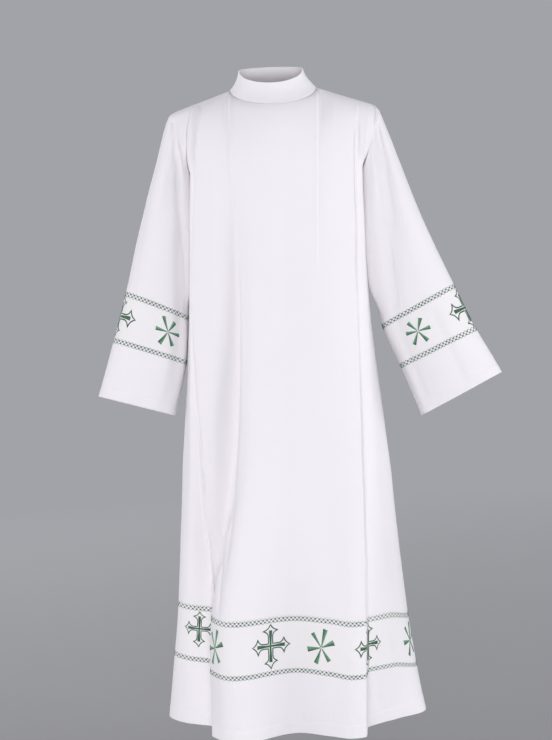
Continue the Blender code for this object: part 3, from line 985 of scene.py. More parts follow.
@dataclass(frozen=True)
class ThreadFinish:
    """Satin embroidery thread: fine stitches across each bar, dark and light with the strokes, where
    the light is partly painted sheen and painted light on one side.
    """

    name: str
    # The dark colour is the thread's own and also its painted shade; the light colour also paints its
    # sheen and its lit side.
    dark: tuple[float, float, float]
    light: tuple[float, float, float]
    stitch: float = 0.0005
    depth: float = 0.00008
    tone_share: float = 0.85
    grain_share: float = 0.5
    darkening: float = 0.2
    grain_scale: float = 220.0
    roughness: float = 0.38
    roughness_range: float = 0.15
    roughness_shift: float = -0.07
    sheen: float = 0.1
    specular: float = 0.5

    def material(self) -> bpy.types.Material:
        """Builds the material: u is how light the thread is, with painted sheen and painted light and
        shade in it, and v runs along it in metres.

        Returns:
            The material.
        """
        nodes = Nodes(self.name)
        split = nodes.node("ShaderNodeSeparateXYZ", {0: nodes.coordinate("UV")})
        tone = Value(nodes, split.outputs[0])
        along = Value(nodes, split.outputs[1])
        stitches = (along * (2 * math.pi / self.stitch)).sum("SINE")
        grain = nodes.noise(nodes.coordinate("Object"), self.grain_scale)
        # How light each point is painted: the stroke's painted sheen and painted light and shade, with
        # random grain.
        share = (tone * self.tone_share + grain * self.grain_share - self.darkening).held()
        rough = grain * self.roughness_range + (self.roughness + self.roughness_shift)
        surface = nodes.node("ShaderNodeBsdfPrincipled", {
            "Base Color": nodes.mix(share, self.dark, self.light),
            "Roughness": rough,
            "Sheen Weight": self.sheen,
            "Specular IOR Level": self.specular,
            "Normal": nodes.bump(stitches * self.depth),
        })
        return nodes.output(surface)


@dataclass(frozen=True)
class StudioFinish:
    """The floor: plain and pale near the garment, and the colour of the air far away."""

    colour: tuple[float, float, float] = (0.27, 0.27, 0.283)
    roughness: float = 0.9
    near: float = 0.9
    far: float = 4.3

    def material(self) -> bpy.types.Material:
        """Builds the floor's material.

        Returns:
            The material.
        """
        nodes = Nodes("studio_floor")
        place = nodes.coordinate("Object")
        length = nodes.node("ShaderNodeVectorMath", {0: place}, {"operation": "LENGTH"})
        away = Value(nodes, length.outputs["Value"])
        share = ((away - self.near) / (self.far - self.near)).held()
        near = nodes.node("ShaderNodeBsdfPrincipled",
                          {"Base Color": (*self.colour, 1.0), "Roughness": self.roughness})
        far = nodes.node("ShaderNodeEmission", {"Color": (*AIR, 1.0)})
        inputs = {0: share, 1: near.outputs[0], 2: far.outputs[0]}
        return nodes.output(nodes.node("ShaderNodeMixShader", inputs))


# ---- Meshes ------------------------------------------------------------------------------


def mesh_object(name: str, points: np.ndarray, faces: Sequence[Sequence[int]],
                uv: np.ndarray, finish: bpy.types.Material) -> bpy.types.Object:
    """Makes an object from points and faces.

    Args:
        name: Its name.
        points: Its points.
        faces: Corners of each face.
        uv: A pair for every corner, in the faces' order.
        finish: Its material.

    Returns:
        The object, in the scene.
    """
    mesh = bpy.data.meshes.new(name)
    mesh.from_pydata(points.tolist(), [], faces)
    layer = mesh.uv_layers.new(name="cloth")
    layer.data.foreach_set("uv", uv.astype(np.float32).ravel())
    mesh.materials.append(finish)
    mesh.shade_smooth()
    piece = bpy.data.objects.new(name, mesh)
    bpy.context.scene.collection.objects.link(piece)
    return piece


def sheet_object(name: str, grid: Grid, finish: bpy.types.Material,
                 wall: float) -> bpy.types.Object:
    """Makes a sheet of cloth from its grid: the outer face, with its wall inwards.

    Args:
        name: The piece's name.
        grid: The sheet. A closed one repeats its first column at its end.
        finish: Its material.
        wall: The cloth's thickness.

    Returns:
        The piece.
    """
    rows, columns = grid.points.shape[:2]
    kept = columns - 1 if grid.closed else columns
    index = np.arange(rows * kept).reshape(rows, kept)
    if grid.closed:
        index = np.concatenate([index, index[:, :1]], axis=1)
    corners = [index[:-1, :-1], index[1:, :-1], index[1:, 1:], index[:-1, 1:]]
    pairs = np.stack([grid.arc, grid.run], axis=2)
    places = [pairs[:-1, :-1], pairs[1:, :-1], pairs[1:, 1:], pairs[:-1, 1:]]
    if grid.turned:
        corners.reverse()
        places.reverse()
    faces = np.stack(corners, axis=2).reshape(-1, 4)
    uv = np.stack(places, axis=2).reshape(-1, 2)
    points = grid.points[:, :kept].reshape(-1, 3)
    piece = mesh_object(name, points, faces.tolist(), uv, finish)
    thickness = piece.modifiers.new("wall", "SOLIDIFY")
    thickness.thickness = wall
    thickness.offset = -1.0
    apply_modifiers(piece)
    return piece


def apply_modifiers(piece: bpy.types.Object) -> None:
    """Applies every modifier of a piece.

    Args:
        piece: The piece.
    """
    bpy.ops.object.select_all(action="DESELECT")
    piece.select_set(True)
    bpy.context.view_layer.objects.active = piece
    for modifier in list(piece.modifiers):
        bpy.ops.object.modifier_apply(modifier=modifier.name)
    piece.select_set(False)


@dataclass(frozen=True)
class Cut:
    """One kind of sheet: its name, the solid it replaces, how it was cut and what holds it."""

    name: str
    node: str
    slot: str
    flat: tuple[float, float]
    area: float | None
    rests_on: tuple[str, ...]
    wall: float = WALL


def dress(cut: Cut, at: Side, grid: Grid, finish: bpy.types.Material) -> None:
    """Builds a sheet of cloth, hides the solid that it replaces and hangs it on the body.

    Args:
        cut: Its cut.
        at: The side that it is on, which the cut's names take in.
        grid: The sheet.
        finish: Its material.
    """
    side = at.value
    piece = sheet_object(cut.name.format(side=side), grid, finish, cut.wall)
    node = cut.node.format(side=side)
    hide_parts(node)
    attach(piece, BODY)
    LOG.info("%s: %d faces", piece.name, len(piece.data.polygons))


# ---- Embroidery --------------------------------------------------------------------------


@dataclass(frozen=True)
class Spot:
    """A place on the folded cloth from which embroidery is measured."""

    grid: Grid
    row: float
    column: float

    def at(self, across: np.ndarray, up: np.ndarray, lift: np.ndarray) -> np.ndarray:
        """Points on the cloth around this spot.

        Args:
            across: Metres to the right of the spot, seen from outside.
            up: Metres above it.
            lift: Metres out from the cloth.

        Returns:
            The points.
        """
        grid = self.grid
        rows, columns = grid.points.shape[:2]
        low = min(int(self.row), rows - 2)
        share = self.row - low
        arc = grid.arc[low] * (1 - share) + grid.arc[low + 1] * share
        middle = np.interp(self.column, np.arange(columns), arc)
        wanted = middle + (-across if grid.turned else across)
        if grid.closed:
            wanted = np.mod(wanted, arc[-1])
        column = np.interp(wanted, arc, np.arange(columns))
        near = min(int(round(self.column)), columns - 1)
        run = grid.run[:, near]
        start = np.interp(self.row, np.arange(rows), run)
        row = np.interp(start - up, run, np.arange(rows))
        point = sample(grid.points, row, column)
        return point + unit(sample(grid.normals, row, column)) * lift[..., None]


def sample(values: np.ndarray, row: np.ndarray, column: np.ndarray) -> np.ndarray:
    """Values of a grid between its points.

    Args:
        values: The grid's values.
        row: Rows, with shares between them.
        column: Columns, with shares between them.

    Returns:
        The values at those places.
    """
    top = np.clip(row.astype(int), 0, values.shape[0] - 2)
    left = np.clip(column.astype(int), 0, values.shape[1] - 2)
    down = (row - top)[..., None]
    right = (column - left)[..., None]
    upper = values[top, left] * (1 - right) + values[top, left + 1] * right
    lower = values[top + 1, left] * (1 - right) + values[top + 1, left + 1] * right
    return upper * (1 - down) + lower * down


class Tone(Enum):
    """How a stroke's thread shows: dark with a painted sheen towards its edges, light, or with painted
    shade on one side and painted light on the other.
    """

    DARK = 1
    LIGHT = 2
    # A stroke painted as if lit from one side.
    LIT_SIDE = 3


@dataclass
class Stitching:
    """Thread strokes gathered into one mesh: each a low rounded bar on the cloth."""

    profile: tuple[tuple[float, float], ...] = (
        (-1.0, 0.0),
        (-0.55, 0.8),
        (0.0, 1.0),
        (0.55, 0.8),
        (1.0, 0.0),
    )
    base: float = 0.0001
    # Where the painted light on the rays comes from; the dark tone's core and its painted sheen
    # towards the edges; the light tone; and the painted shade and painted light of a lit stroke's two
    # sides.
    lit_from: tuple[float, float] = (0.5, 0.87)
    dark_core_painted_sheen: tuple[float, float] = (0.02, 0.24)
    light_shade: float = 0.80
    lit_shades: tuple[float, float] = (0.40, 0.50)
    points: list[np.ndarray] = field(default_factory=list)
    faces: list[tuple[int, ...]] = field(default_factory=list)
    uv: list[np.ndarray] = field(default_factory=list)
    count: int = 0

    def stroke(self, spot: Spot, path: np.ndarray, widths: np.ndarray, height: float,
               tone: Tone = Tone.DARK, closed: bool = False, base: float = 0.0) -> None:
        """Adds one stroke.

        Args:
            spot: Where the stroke's coordinates start.
            path: Its middle, as (across, up) points in metres.
            widths: Its full width at each point.
            height: How high it stands.
            tone: How its thread shows, with its painted sheen or its painted light and shade.
            closed: Whether its end meets its start.
            base: How far it lies above other thread.
        """
        if closed:
            way = np.roll(path, -1, axis=0) - np.roll(path, 1, axis=0)
        else:
            way = np.gradient(path, axis=0)
        way = unit(way)
        side = np.stack([-way[:, 1], way[:, 0]], axis=1)
        profile = np.array(self.profile)
        offset = profile[None, :, 0] * widths[:, None] / 2
        flat = path[:, None, :] + side[:, None, :] * offset[..., None]
        lift = self.base + base + profile[None, :, 1] * height * np.ones((len(path), 1))
        points = spot.at(flat[..., 0], flat[..., 1], lift)
        rows, across = points.shape[:2]
        index = self.count + np.arange(rows * across).reshape(rows, across)
        length = np.concatenate([[0.0], np.cumsum(np.linalg.norm(np.diff(path, axis=0), axis=1))])
        share = self.shades(profile[:, 0], float(side[0] @ np.array(self.lit_from)), tone)
        for i in range(rows if closed else rows - 1):
            j = (i + 1) % rows
            near = length[i]
            far = length[i + 1] if i + 1 < rows else near + length[1]
            for k in range(across):
                m = (k + 1) % across
                self.faces.append((index[i, k], index[j, k], index[j, m], index[i, m]))
                one, other = share[k], share[m]
                self.uv.extend(((one, near), (one, far), (other, far), (other, near)))
        if not closed:
            self.faces.append(tuple(index[0]))
            self.uv.extend((s, 0.0) for s in share)
            self.faces.append(tuple(index[-1][::-1]))
            self.uv.extend((s, length[-1]) for s in share[::-1])
        self.points.append(points.reshape(-1, 3))
        self.count += rows * across

    def shades(self, across: np.ndarray, lit: float, tone: Tone) -> np.ndarray:
        """How light the thread is painted across a stroke, with painted sheen and painted light and
        shade.

        Args:
            across: Places across it, from -1 to 1.
            lit: Above 0 where its last side is the lit one.
            tone: How its thread shows.

        Returns:
            A share from 0, dark, to 1, light, at each place.
        """
        if tone is Tone.DARK:
            # A dark stroke is painted lighter towards its edges, as a painted sheen.
            middle, edge = self.dark_core_painted_sheen
            return middle + edge * across**2
        if tone is Tone.LIGHT:
            return np.full_like(across, self.light_shade)
        # One side painted light and the other painted shade, by where the painted light comes from.
        middle, edge = self.lit_shades
        return middle + edge * across * math.copysign(1.0, lit)

    def piece(self, name: str, finish: bpy.types.Material, slot: str) -> bpy.types.Object:
        """Makes the gathered strokes one piece.

        Args:
            name: Its name.
            finish: Its material.
            slot: Not used.

        Returns:
            The piece.
        """
        points = np.concatenate(self.points)
        piece = mesh_object(name, points, self.faces, np.array(self.uv), finish)
        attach(piece, BODY)
        LOG.info("%s: %d faces", name, len(self.faces))
        return piece


@dataclass(frozen=True)
class Arm:
    """One arm of a budded cross: its turn in degrees, its bar, and the outline's bud and tip.

    Each pair holds the arm's left-hand side, then its right-hand side.
    """

    turn: float
    bar: float
    bud_at: tuple[float, float]
    bud_half_width: tuple[float, float]
    tip: float


@dataclass(frozen=True)
class BuddedCross:
    """A cross of four satin bars inside an outline that opens into a pointed bud on each arm.

    flare is how far before a bud the outline leaves the arm, and where its bow is pulled to.
    shoulder is how far past the bud, and at what share of its width, the bow to the tip is.
    """

    arms: tuple[Arm, ...] = (
        Arm(87.5, 0.0345, (0.0331, 0.0348), (0.0190, 0.0180), 0.0480),
        Arm(178.6, 0.0323, (0.0308, 0.0308), (0.0190, 0.0177), 0.0441),
        Arm(268.5, 0.0352, (0.0332, 0.0373), (0.0167, 0.0160), 0.0505),
        Arm(0.5, 0.0340, (0.0325, 0.0316), (0.0168, 0.0183), 0.0455),
    )
    bar_points: int = 12
    bow_points: int = 7
    neck_points: int = 4
    bar_width: tuple[float, float] = (0.0018, 0.0082)
    bar_flare: float = 0.8
    bar_lift: float = 0.0002
    underlay: float = 0.0046
    underlay_reach: float = 0.96
    neck: float = 0.0052
    flare: tuple[float, float] = (0.013, 0.003)
    shoulder: tuple[float, float] = (0.0015, 0.26)
    line: float = 0.0026
    height: float = 0.0006
    underlay_height: float = 0.6
    line_height: float = 0.8

    def outline(self) -> np.ndarray:
        """The closed outline round all four arms."""
        arms = sorted(self.arms, key=lambda one: one.turn)
        return np.concatenate([self.turned(self.bud(arm), arm.turn) for arm in arms])

    def bud(self, arm: Arm) -> np.ndarray:
        """The outline of an arm that points to the right, from its right-hand side to its left.

        Args:
            arm: The arm.

        Returns:
            The path.
        """
        neck = self.neck
        out, share = self.shoulder
        tip = np.array((arm.tip, 0.0))
        points = []
        for side, bud_at, half in ((-1, arm.bud_at[1], arm.bud_half_width[1]),
                                   (1, arm.bud_at[0], arm.bud_half_width[0])):
            corner = np.array((neck, side * neck))
            start = np.array((bud_at - self.flare[0], side * neck))
            point = np.array((bud_at, side * half))
            along = np.linspace(corner, start, self.neck_points, endpoint=False)
            flare = self.bow(start, point, np.array((bud_at - self.flare[1], side * neck)))
            shoulder = self.bow(point, tip, np.array((bud_at + out, side * half * share)))
            half_path = np.concatenate([along, flare[:-1], shoulder])
            points.append(half_path if side < 0 else half_path[-2::-1])
        return np.concatenate(points)

    def bow(self, start: np.ndarray, end: np.ndarray, pull: np.ndarray) -> np.ndarray:
        """A curve between two points, bowed towards a third."""
        share = np.linspace(0, 1, self.bow_points)[:, None]
        return start * (1 - share) ** 2 + pull * 2 * share * (1 - share) + end * share**2

    def turned(self, path: np.ndarray, degrees: float) -> np.ndarray:
        """The path turned about the motif's middle."""
        cos, sin = math.cos(math.radians(degrees)), math.sin(math.radians(degrees))
        return path @ np.array(((cos, sin), (-sin, cos)))

    def sew(self, stitching: Stitching, spot: Spot, size: float) -> None:
        """Adds the cross at a spot.

        Args:
            stitching: Where its threads go.
            spot: Its middle.
            size: How many times its usual size it is.
        """
        share = np.linspace(0.0, 1.0, self.bar_points)
        root, end = self.bar_width
        widths = root + (end - root) * share**self.bar_flare
        under_widths = np.full(self.bar_points, self.underlay * size)
        for arm in self.arms:
            path = self.turned(np.stack([share * arm.bar, 0 * share], axis=1), arm.turn)
            stitching.stroke(spot, path * self.underlay_reach * size, under_widths,
                             self.height * self.underlay_height, Tone.LIGHT)
            # The bars and the outline take the dark tone, painted lighter towards their edges as a
            # painted sheen.
            stitching.stroke(spot, path * size, widths * size, self.height, base=self.bar_lift)
        outline = self.outline() * size
        stitching.stroke(spot, outline, np.full(len(outline), self.line * size),
                         self.height * self.line_height, closed=True)


@dataclass(frozen=True)
class RayStar:
    """A star of six satin rays that widen from its middle, each with its turn, length and width."""

    rays: tuple[tuple[float, float, float], ...] = (
        (75.0, 0.0428, 0.0108),
        (26.0, 0.0335, 0.0118),
        (-57.5, 0.0330, 0.0100),
        (248.0, 0.0389, 0.0106),
        (191.5, 0.0344, 0.0120),
        (124.0, 0.0366, 0.0096),
    )
    points: int = 12
    start: float = 0.0018
    root_width: float = 0.0016
    height: float = 0.0008

    def sew(self, stitching: Stitching, spot: Spot, size: float) -> None:
        """Adds the star at a spot.

        Args:
            stitching: Where its threads go.
            spot: Its middle.
            size: How many times its usual size it is.
        """
        share = np.linspace(0.0, 1.0, self.points)
        for turn, length, width in self.rays:
            way = np.array((math.cos(math.radians(turn)), math.sin(math.radians(turn))))
            reach = self.start + (length - self.start) * share
            widths = self.root_width + (width - self.root_width) * share
            # Each ray is painted light on one side and painted shade on the other.
            stitching.stroke(spot, reach[:, None] * way * size, widths * size, self.height,
                             Tone.LIT_SIDE)


@dataclass(frozen=True)
class LatticeTrim:
    """An open lattice of crossing threads with a knot on each crossing, over a band's seam.

    lift is how high the threads stand, and the lifts and the knot's end are shares of one.
    """

    height: float = 0.0120
    pitch: float = 0.0085
    thread: float = 0.0007
    knot: float = 0.0036
    knot_row: float = 0.0025
    lift: float = 0.0005
    crossings: float = 1.5
    drawn: float = 1.0
    samples: int = 400
    smoothing: int = 19
    points: int = 5
    upper_lift: float = 1.3
    knot_lift: float = 1.9
    knot_end: float = 0.05

    def places(self, spot: Spot, length: float) -> np.ndarray:
        """Where the crossings stand: further apart where the cloth is drawn round a side.

        Args:
            spot: Where the trim starts.
            length: How far it runs.

        Returns:
            Distances from its start.
        """
        row = int(round(spot.row))
        arc, depth = spot.grid.arc[row], spot.grid.points[row, :, 1]
        even = np.linspace(0.0, length, self.samples)
        turned = abs(np.gradient(np.interp(even, arc, depth), even)) ** 2
        padded = np.pad(turned, self.smoothing // 2, "edge")
        turned = np.convolve(padded, np.full(self.smoothing, 1 / self.smoothing), "valid")
        crossings = 1 / (self.pitch * (1 + self.drawn * np.clip(turned, 0, 1)))
        counts = (crossings[1:] + crossings[:-1]) / 2 * np.diff(even)
        passed = np.concatenate([[0.0], np.cumsum(counts)])
        return np.interp(np.linspace(0, passed[-1], round(passed[-1]) + 1), passed, even)

    def sew(self, stitching: Stitching, spot: Spot, length: float, centre: float) -> None:
        """Adds the trim along a stretch of cloth.

        Args:
            stitching: Where its threads go.
            spot: Where it starts.
            length: How far it runs to the right.
            centre: How far its middle lies above the spot.
        """
        share = np.linspace(0.0, 1.0, self.points)
        up = centre + (share - 0.5) * self.height
        widths = np.full(len(share), self.thread)
        places = self.places(spot, length)
        for place, pitch in zip(places, np.gradient(places)):
            for way, lift in ((1, self.lift), (-1, self.lift * self.upper_lift)):
                across = place + way * share * pitch * self.crossings
                path = np.stack([np.clip(across, 0, length), up], axis=1)
                if np.ptp(path[:, 0]) > pitch:
                    # Each thread takes the dark tone, painted lighter towards its edges as a painted
                    # sheen.
                    stitching.stroke(spot, path, widths, lift)
            for row, half in ((-1, 0.5), (1, 0.0)):
                x = place + half * pitch
                if x < length - self.knot:
                    self.tie(stitching, spot, x, centre + row * self.knot_row)

    def tie(self, stitching: Stitching, spot: Spot, across: float, up: float) -> None:
        """Adds one knot.

        Args:
            stitching: Where its thread goes.
            spot: Where the trim starts.
            across: How far to the right of that the knot lies.
            up: How far above it.
        """
        share = np.linspace(-0.5, 0.5, self.points)
        path = np.stack([across + share * self.knot, up + 0 * share], axis=1)
        widths = self.knot * np.sqrt(1 + self.knot_end - (2 * share) ** 2)
        # The knot too is painted lighter towards its edges, as a painted sheen.
        stitching.stroke(spot, path, widths, self.lift * self.knot_lift)


# ---- Pieces ------------------------------------------------------------------------------


def press(grid: Grid, edges: Sequence[Edge], depth: float = 0.0007,
          width: float = 0.0016) -> Grid:
    """Sinks a sheet's sewn edges a little, as pressed seams are.

    Args:
        grid: The sheet, whose points are moved.
        edges: Which edges are sewn.
        depth: How far they sink.
        width: How far from the edge the dip reaches.

    Returns:
        The same sheet.
    """
    away = {
        Edge.TOP: grid.run,
        Edge.BOTTOM: grid.run[-1] - grid.run,
        Edge.LEFT: grid.arc,
        Edge.RIGHT: grid.arc[:, -1:] - grid.arc,
    }
    dip = np.zeros_like(grid.run)
    for edge in edges:
        dip = np.maximum(dip, np.exp(-((away[edge] / width) ** 2)))
    grid.points = grid.points - grid.normals * (depth * dip)[..., None]
    return grid


def turn_up(grid: Grid, height: float, groove: float = 0.00035, groove_width: float = 0.0013,
            double: float = 0.0003, ease: float = 0.002) -> Grid:
    """Marks the stitched line of a turned-up hem.

    Args:
        grid: The sheet, whose lower edge is hemmed.
        height: How far above the edge the stitches run.
        groove: How deep the stitches sink.
        groove_width: How far above and below them the cloth is drawn in.
        double: How far the doubled cloth below them stands out.
        ease: How far above and below them it takes to do so.

    Returns:
        The same sheet.
    """
    above = grid.run[-1] - grid.run - height
    lift = double * smooth_step(ease, -ease, above)
    lift = lift - groove * np.exp(-((above / groove_width) ** 2))
    grid.points = grid.points + grid.normals * lift[..., None]
    return grid


@dataclass
class Body:
    """The front and back panels, the embroidered band of the skirt and its hem."""

    loft: BodyLoft
    plain: bpy.types.Material
    band: bpy.types.Material
    row_step: float = 0.0072
    column_step: float = 0.0046
    fine_step: float = 0.0026
    fine_lines: tuple[str, ...] = ("left_foot", "left_pleat", "left_strip", "left_trough",
                                   "left_lip", "centre", "right_tuck", "right_corner", "back_foot")
    crisp_lines: tuple[str, ...] = ("left_foot", "left_pleat", "right_tuck", "right_corner",
                                    "right_foot")
    crisp_step: float = 0.0013
    crisp_count: int = 6
    near: tuple[float, ...] = (SEAM_GAP, *FINE_STEPS)
    row_near: tuple[float, ...] = (ROW_GAP, *FINE_STEPS)
    measured_levels: int = 9
    yoke_rows: int = 34
    yoke_start: float = 0.03
    held_top: float = 0.03
    held_side: float = 0.02
    held_levels: tuple[float, float] = (CHEST - 0.04, CHEST + 0.01)
    shoulder_dip: float = 0.0005
    hem_height: float = 0.028
    waves: Unevenness = Unevenness()
    rows: tuple[slice, ...] = ()

    def columns(self, first: int, last: int) -> np.ndarray:
        """Places of the columns of a panel, closer together where the folds are sharp.

        Args:
            first: The line at the panel's first edge.
            last: The line at its other edge.

        Returns:
            The places, rising.
        """
        rings = self.loft.rings(np.linspace(CHEST, HEM, self.measured_levels))
        places: list[float] = []
        for i in range(first, last):
            span = np.linalg.norm(rings[:, (i + 1) % COUNT] - rings[:, i % COUNT], axis=1).max()
            step = self.fine_step if NAMES[i % COUNT] in self.fine_lines else self.column_step
            crisp = self.crisp_step * np.arange(self.crisp_count + 1) / span
            starts = crisp if NAMES[i % COUNT] in self.crisp_lines else crisp[:1]
            ends = crisp if NAMES[(i + 1) % COUNT] in self.crisp_lines else crisp[:1]
            low, high = starts[-1], 1 - ends[-1]
            if low < high:
                count = max(int(math.ceil((high - low) * span / step)), 1)
                middle = np.linspace(low, high, count + 1)
                inside = np.concatenate([starts[:-1], middle, 1 - ends[-2::-1]])
            else:
                inside = np.linspace(0, 1, int(math.ceil(span / self.crisp_step)) + 1)
            places += list(i + inside[:-1])
        chest = rings[0]
        start = np.linalg.norm(chest[(first + 1) % COUNT] - chest[first % COUNT])
        end = np.linalg.norm(chest[last % COUNT] - chest[(last - 1) % COUNT])
        before = [first + off / start for off in self.near]
        after = [last - off / end for off in reversed(self.near)]
        inner = [place for place in places if before[-1] < place < after[0]]
        return np.array(before + inner + after)

    def levels(self) -> np.ndarray:
        """Heights of the rows below the yoke. It also notes which rows make which piece.

        Returns:
            The heights, falling.
        """
        panel = steps(CHEST, BAND_TOP, self.row_step, self.row_near)
        panel = np.concatenate([[CHEST], panel[len(self.row_near):]])
        band = steps(BAND_TOP, BAND_BOTTOM, self.row_step, self.row_near)
        line = HEM + self.hem_height
        hem = np.concatenate([
            steps(BAND_BOTTOM, line, self.row_step, self.row_near),
            steps(line, HEM, self.row_step, FINE_STEPS),
            [HEM],
        ])
        counts = (self.yoke_rows + len(panel), len(band), len(hem))
        ends = np.cumsum(counts)
        self.rows = tuple(slice(int(end - count), int(end)) for count, end in zip(counts, ends))
        return np.concatenate([panel, band, hem])

    def grid(self, side: Side) -> Grid:
        """The folded cloth of the front or the back, from its top edge to the hem.

        Args:
            side: The side.

        Returns:
            The sheet.
        """
        front = side is Side.FRONT
        first, last = (0, RIGHT_SEAM) if front else (RIGHT_SEAM, COUNT)
        places = self.columns(first, last)
        levels = self.levels()
        near = [off / self.loft.shoulder_leaves[1] for off in self.near]
        even = np.linspace(self.yoke_start, 1.0, self.yoke_rows - len(near) + 1)
        yoke = self.loft.yoke(places, np.concatenate([near, even[:-1]]), front)
        points = np.concatenate([yoke, self.loft.body(places, levels)])
        grid = Grid(points, points[..., 0], points[..., 2])
        fold(grid, BODY_FOLDS[side], self.free(grid), self.waves)
        return grid

    def free(self, grid: Grid) -> np.ndarray:
        """How free the cloth is: held along its top edge and its armholes.

        Args:
            grid: The sheet.

        Returns:
            A share from 0, held, to 1, free, at each point.
        """
        top = smooth_step(0.0, self.held_top, grid.run)
        edge = np.minimum(grid.arc, grid.arc[:, -1:] - grid.arc)
        beside_arm = smooth_step(*self.held_levels, grid.points[..., 2])
        return top * (1 - beside_arm * (1 - smooth_step(0.0, self.held_side, edge)))

    def build(self, embroidery: Callable[[Side, Grid], list[bpy.types.Object]]) -> None:
        """Args:
            embroidery: Sews the band's embroidery on one side and returns its pieces.
        """
        sides = (Edge.LEFT, Edge.RIGHT)
        for side in (Side.FRONT, Side.BACK):
            grid = self.grid(side)
            sewn = embroidery(side, grid)
            panel, band, hem = (grid.part(rows) for rows in self.rows)
            dress(PANEL, side, press(panel, (Edge.TOP, *sides), self.shoulder_dip), self.plain)
            dress(SKIRT_BAND, side, press(band, sides), self.band)
            dress(SKIRT_HEM, side, turn_up(press(hem, sides), self.hem_height), self.plain)


@dataclass
class Sleeve:
    """A sleeve, the band let into it and its cuff."""

    loft: SleeveLoft
    side: Side
    plain: bpy.types.Material
    band: bpy.types.Material
    row_step: float = 0.0062
    near: tuple[float, ...] = (ROW_GAP, *FINE_STEPS)
    held_top: float = 0.03
    shoulder_dip: float = 0.0004
    hem_height: float = 0.022
    waves: Unevenness = Unevenness(seed=11)

    def rows(self, start: float, end: float, span: float, near: Sequence[float]) -> np.ndarray:
        """Places between two seams on a stretch of cloth that is span metres long."""
        return steps(start, end, self.row_step / span, [off / span for off in near])

    def places(self, rings: np.ndarray) -> tuple[np.ndarray, ...]:
        """Places of the rows of the sleeve, its band and its cuff, down the rings.

        Args:
            rings: The sleeve's rings.

        Returns:
            The places of each of the three.
        """
        spans = np.linalg.norm(np.diff(rings, axis=0), axis=2).mean(axis=1)
        upper = [np.array([0.0])]
        for i in range(SLEEVE_BAND_TOP):
            count = max(int(math.ceil(spans[i] / self.row_step)), 2)
            upper.append(np.linspace(i, i + 1, count + 1)[1:])
        arm = np.concatenate(upper)
        ends = [SLEEVE_BAND_TOP - off / spans[SLEEVE_BAND_TOP - 1] for off in reversed(self.near)]
        arm = np.concatenate([arm[arm < ends[0]], ends])
        band = SLEEVE_BAND_TOP + self.rows(0, 1, spans[SLEEVE_BAND_TOP], self.near)
        span = spans[SLEEVE_BAND_BOTTOM]
        line = 1 - self.hem_height / span
        cuff = SLEEVE_BAND_BOTTOM + np.concatenate([
            self.rows(0, line, span, self.near),
            self.rows(line, 1, span, FINE_STEPS),
            [1.0],
        ])
        return arm, band, cuff

    def build(self, embroidery: Callable[[Side, Grid], list[bpy.types.Object]]) -> None:
        """Args:
            embroidery: Sews the band's embroidery on this sleeve and returns its pieces.
        """
        rings = self.loft.rings()
        places = self.places(rings)
        along = np.concatenate(places)
        points = np.array([self.loft.row(rings, place) for place in along])
        around, down = np.meshgrid(np.degrees(self.loft.angles()), along)
        grid = Grid(points, around, down, turned=self.loft.left, closed=True)
        free = smooth_step(0.0, self.held_top, grid.run)
        fold(grid, SLEEVE_FOLDS[self.side], free, self.waves)
        grid.points[:, -1] = grid.points[:, 0]
        top, bottom, _ = np.cumsum([len(rows) for rows in places])
        arm = press(grid.part(slice(0, top)), (Edge.TOP,), self.shoulder_dip)
        band = grid.part(slice(top, bottom))
        cuff = turn_up(grid.part(slice(bottom, None)), self.hem_height)
        sewn = embroidery(self.side, grid)
        dress(ARM, self.side, arm, self.plain)
        dress(ARM_BAND, self.side, band, self.band)
        dress(ARM_CUFF, self.side, cuff, self.plain)


@dataclass
class Collar:
    """The stand collar, a closed ring of stiffened cloth."""

    loft: BodyLoft
    plain: bpy.types.Material
    cut: CollarCut = CollarCut()
    columns: int = 76
    top_rows: tuple[float, ...] = (0.0, 0.02, 0.05)
    middle_rows: tuple[float, float, int] = (0.1, 0.95, 16)
    seam_rows: tuple[float, ...] = (0.98, 0.997)
    held: float = 0.01
    edge_dip: float = 0.0006
    edge_width: float = 0.0012
    waves: Unevenness = Unevenness(seed=5, bands=((0.08, 0.0004, 6),))

    def build(self) -> None:
        middle = np.linspace(*self.middle_rows)
        shares = np.concatenate([self.top_rows, middle, self.seam_rows])
        front_places = np.linspace(NECK_LEFT, NECK_RIGHT, self.columns)
        back_places = np.linspace(NECK_BACK_RIGHT, NECK_BACK_LEFT, self.columns)
        front = self.loft.collar(front_places, True, shares, self.cut)
        back = self.loft.collar(back_places, False, shares, self.cut)
        points = np.concatenate([front[:, :-1], back], axis=1)
        around, down = np.meshgrid(np.linspace(0, 360, points.shape[1]), shares)
        grid = Grid(points, around, down, closed=True)
        fold(grid, (), smooth_step(0.0, self.held, grid.run[-1] - grid.run), self.waves)
        grid.points[:, -1] = grid.points[:, 0]
        press(grid, (Edge.TOP,), self.edge_dip, self.edge_width)
        dress(STAND_COLLAR, Side.FRONT, grid, self.plain)


@dataclass(frozen=True)
class Motif:
    """Where a motif is sewn: how far round the band, and how far above its middle."""

    form: BuddedCross | RayStar
    around: float
    up: float = 0.0
    size: float = 1.0


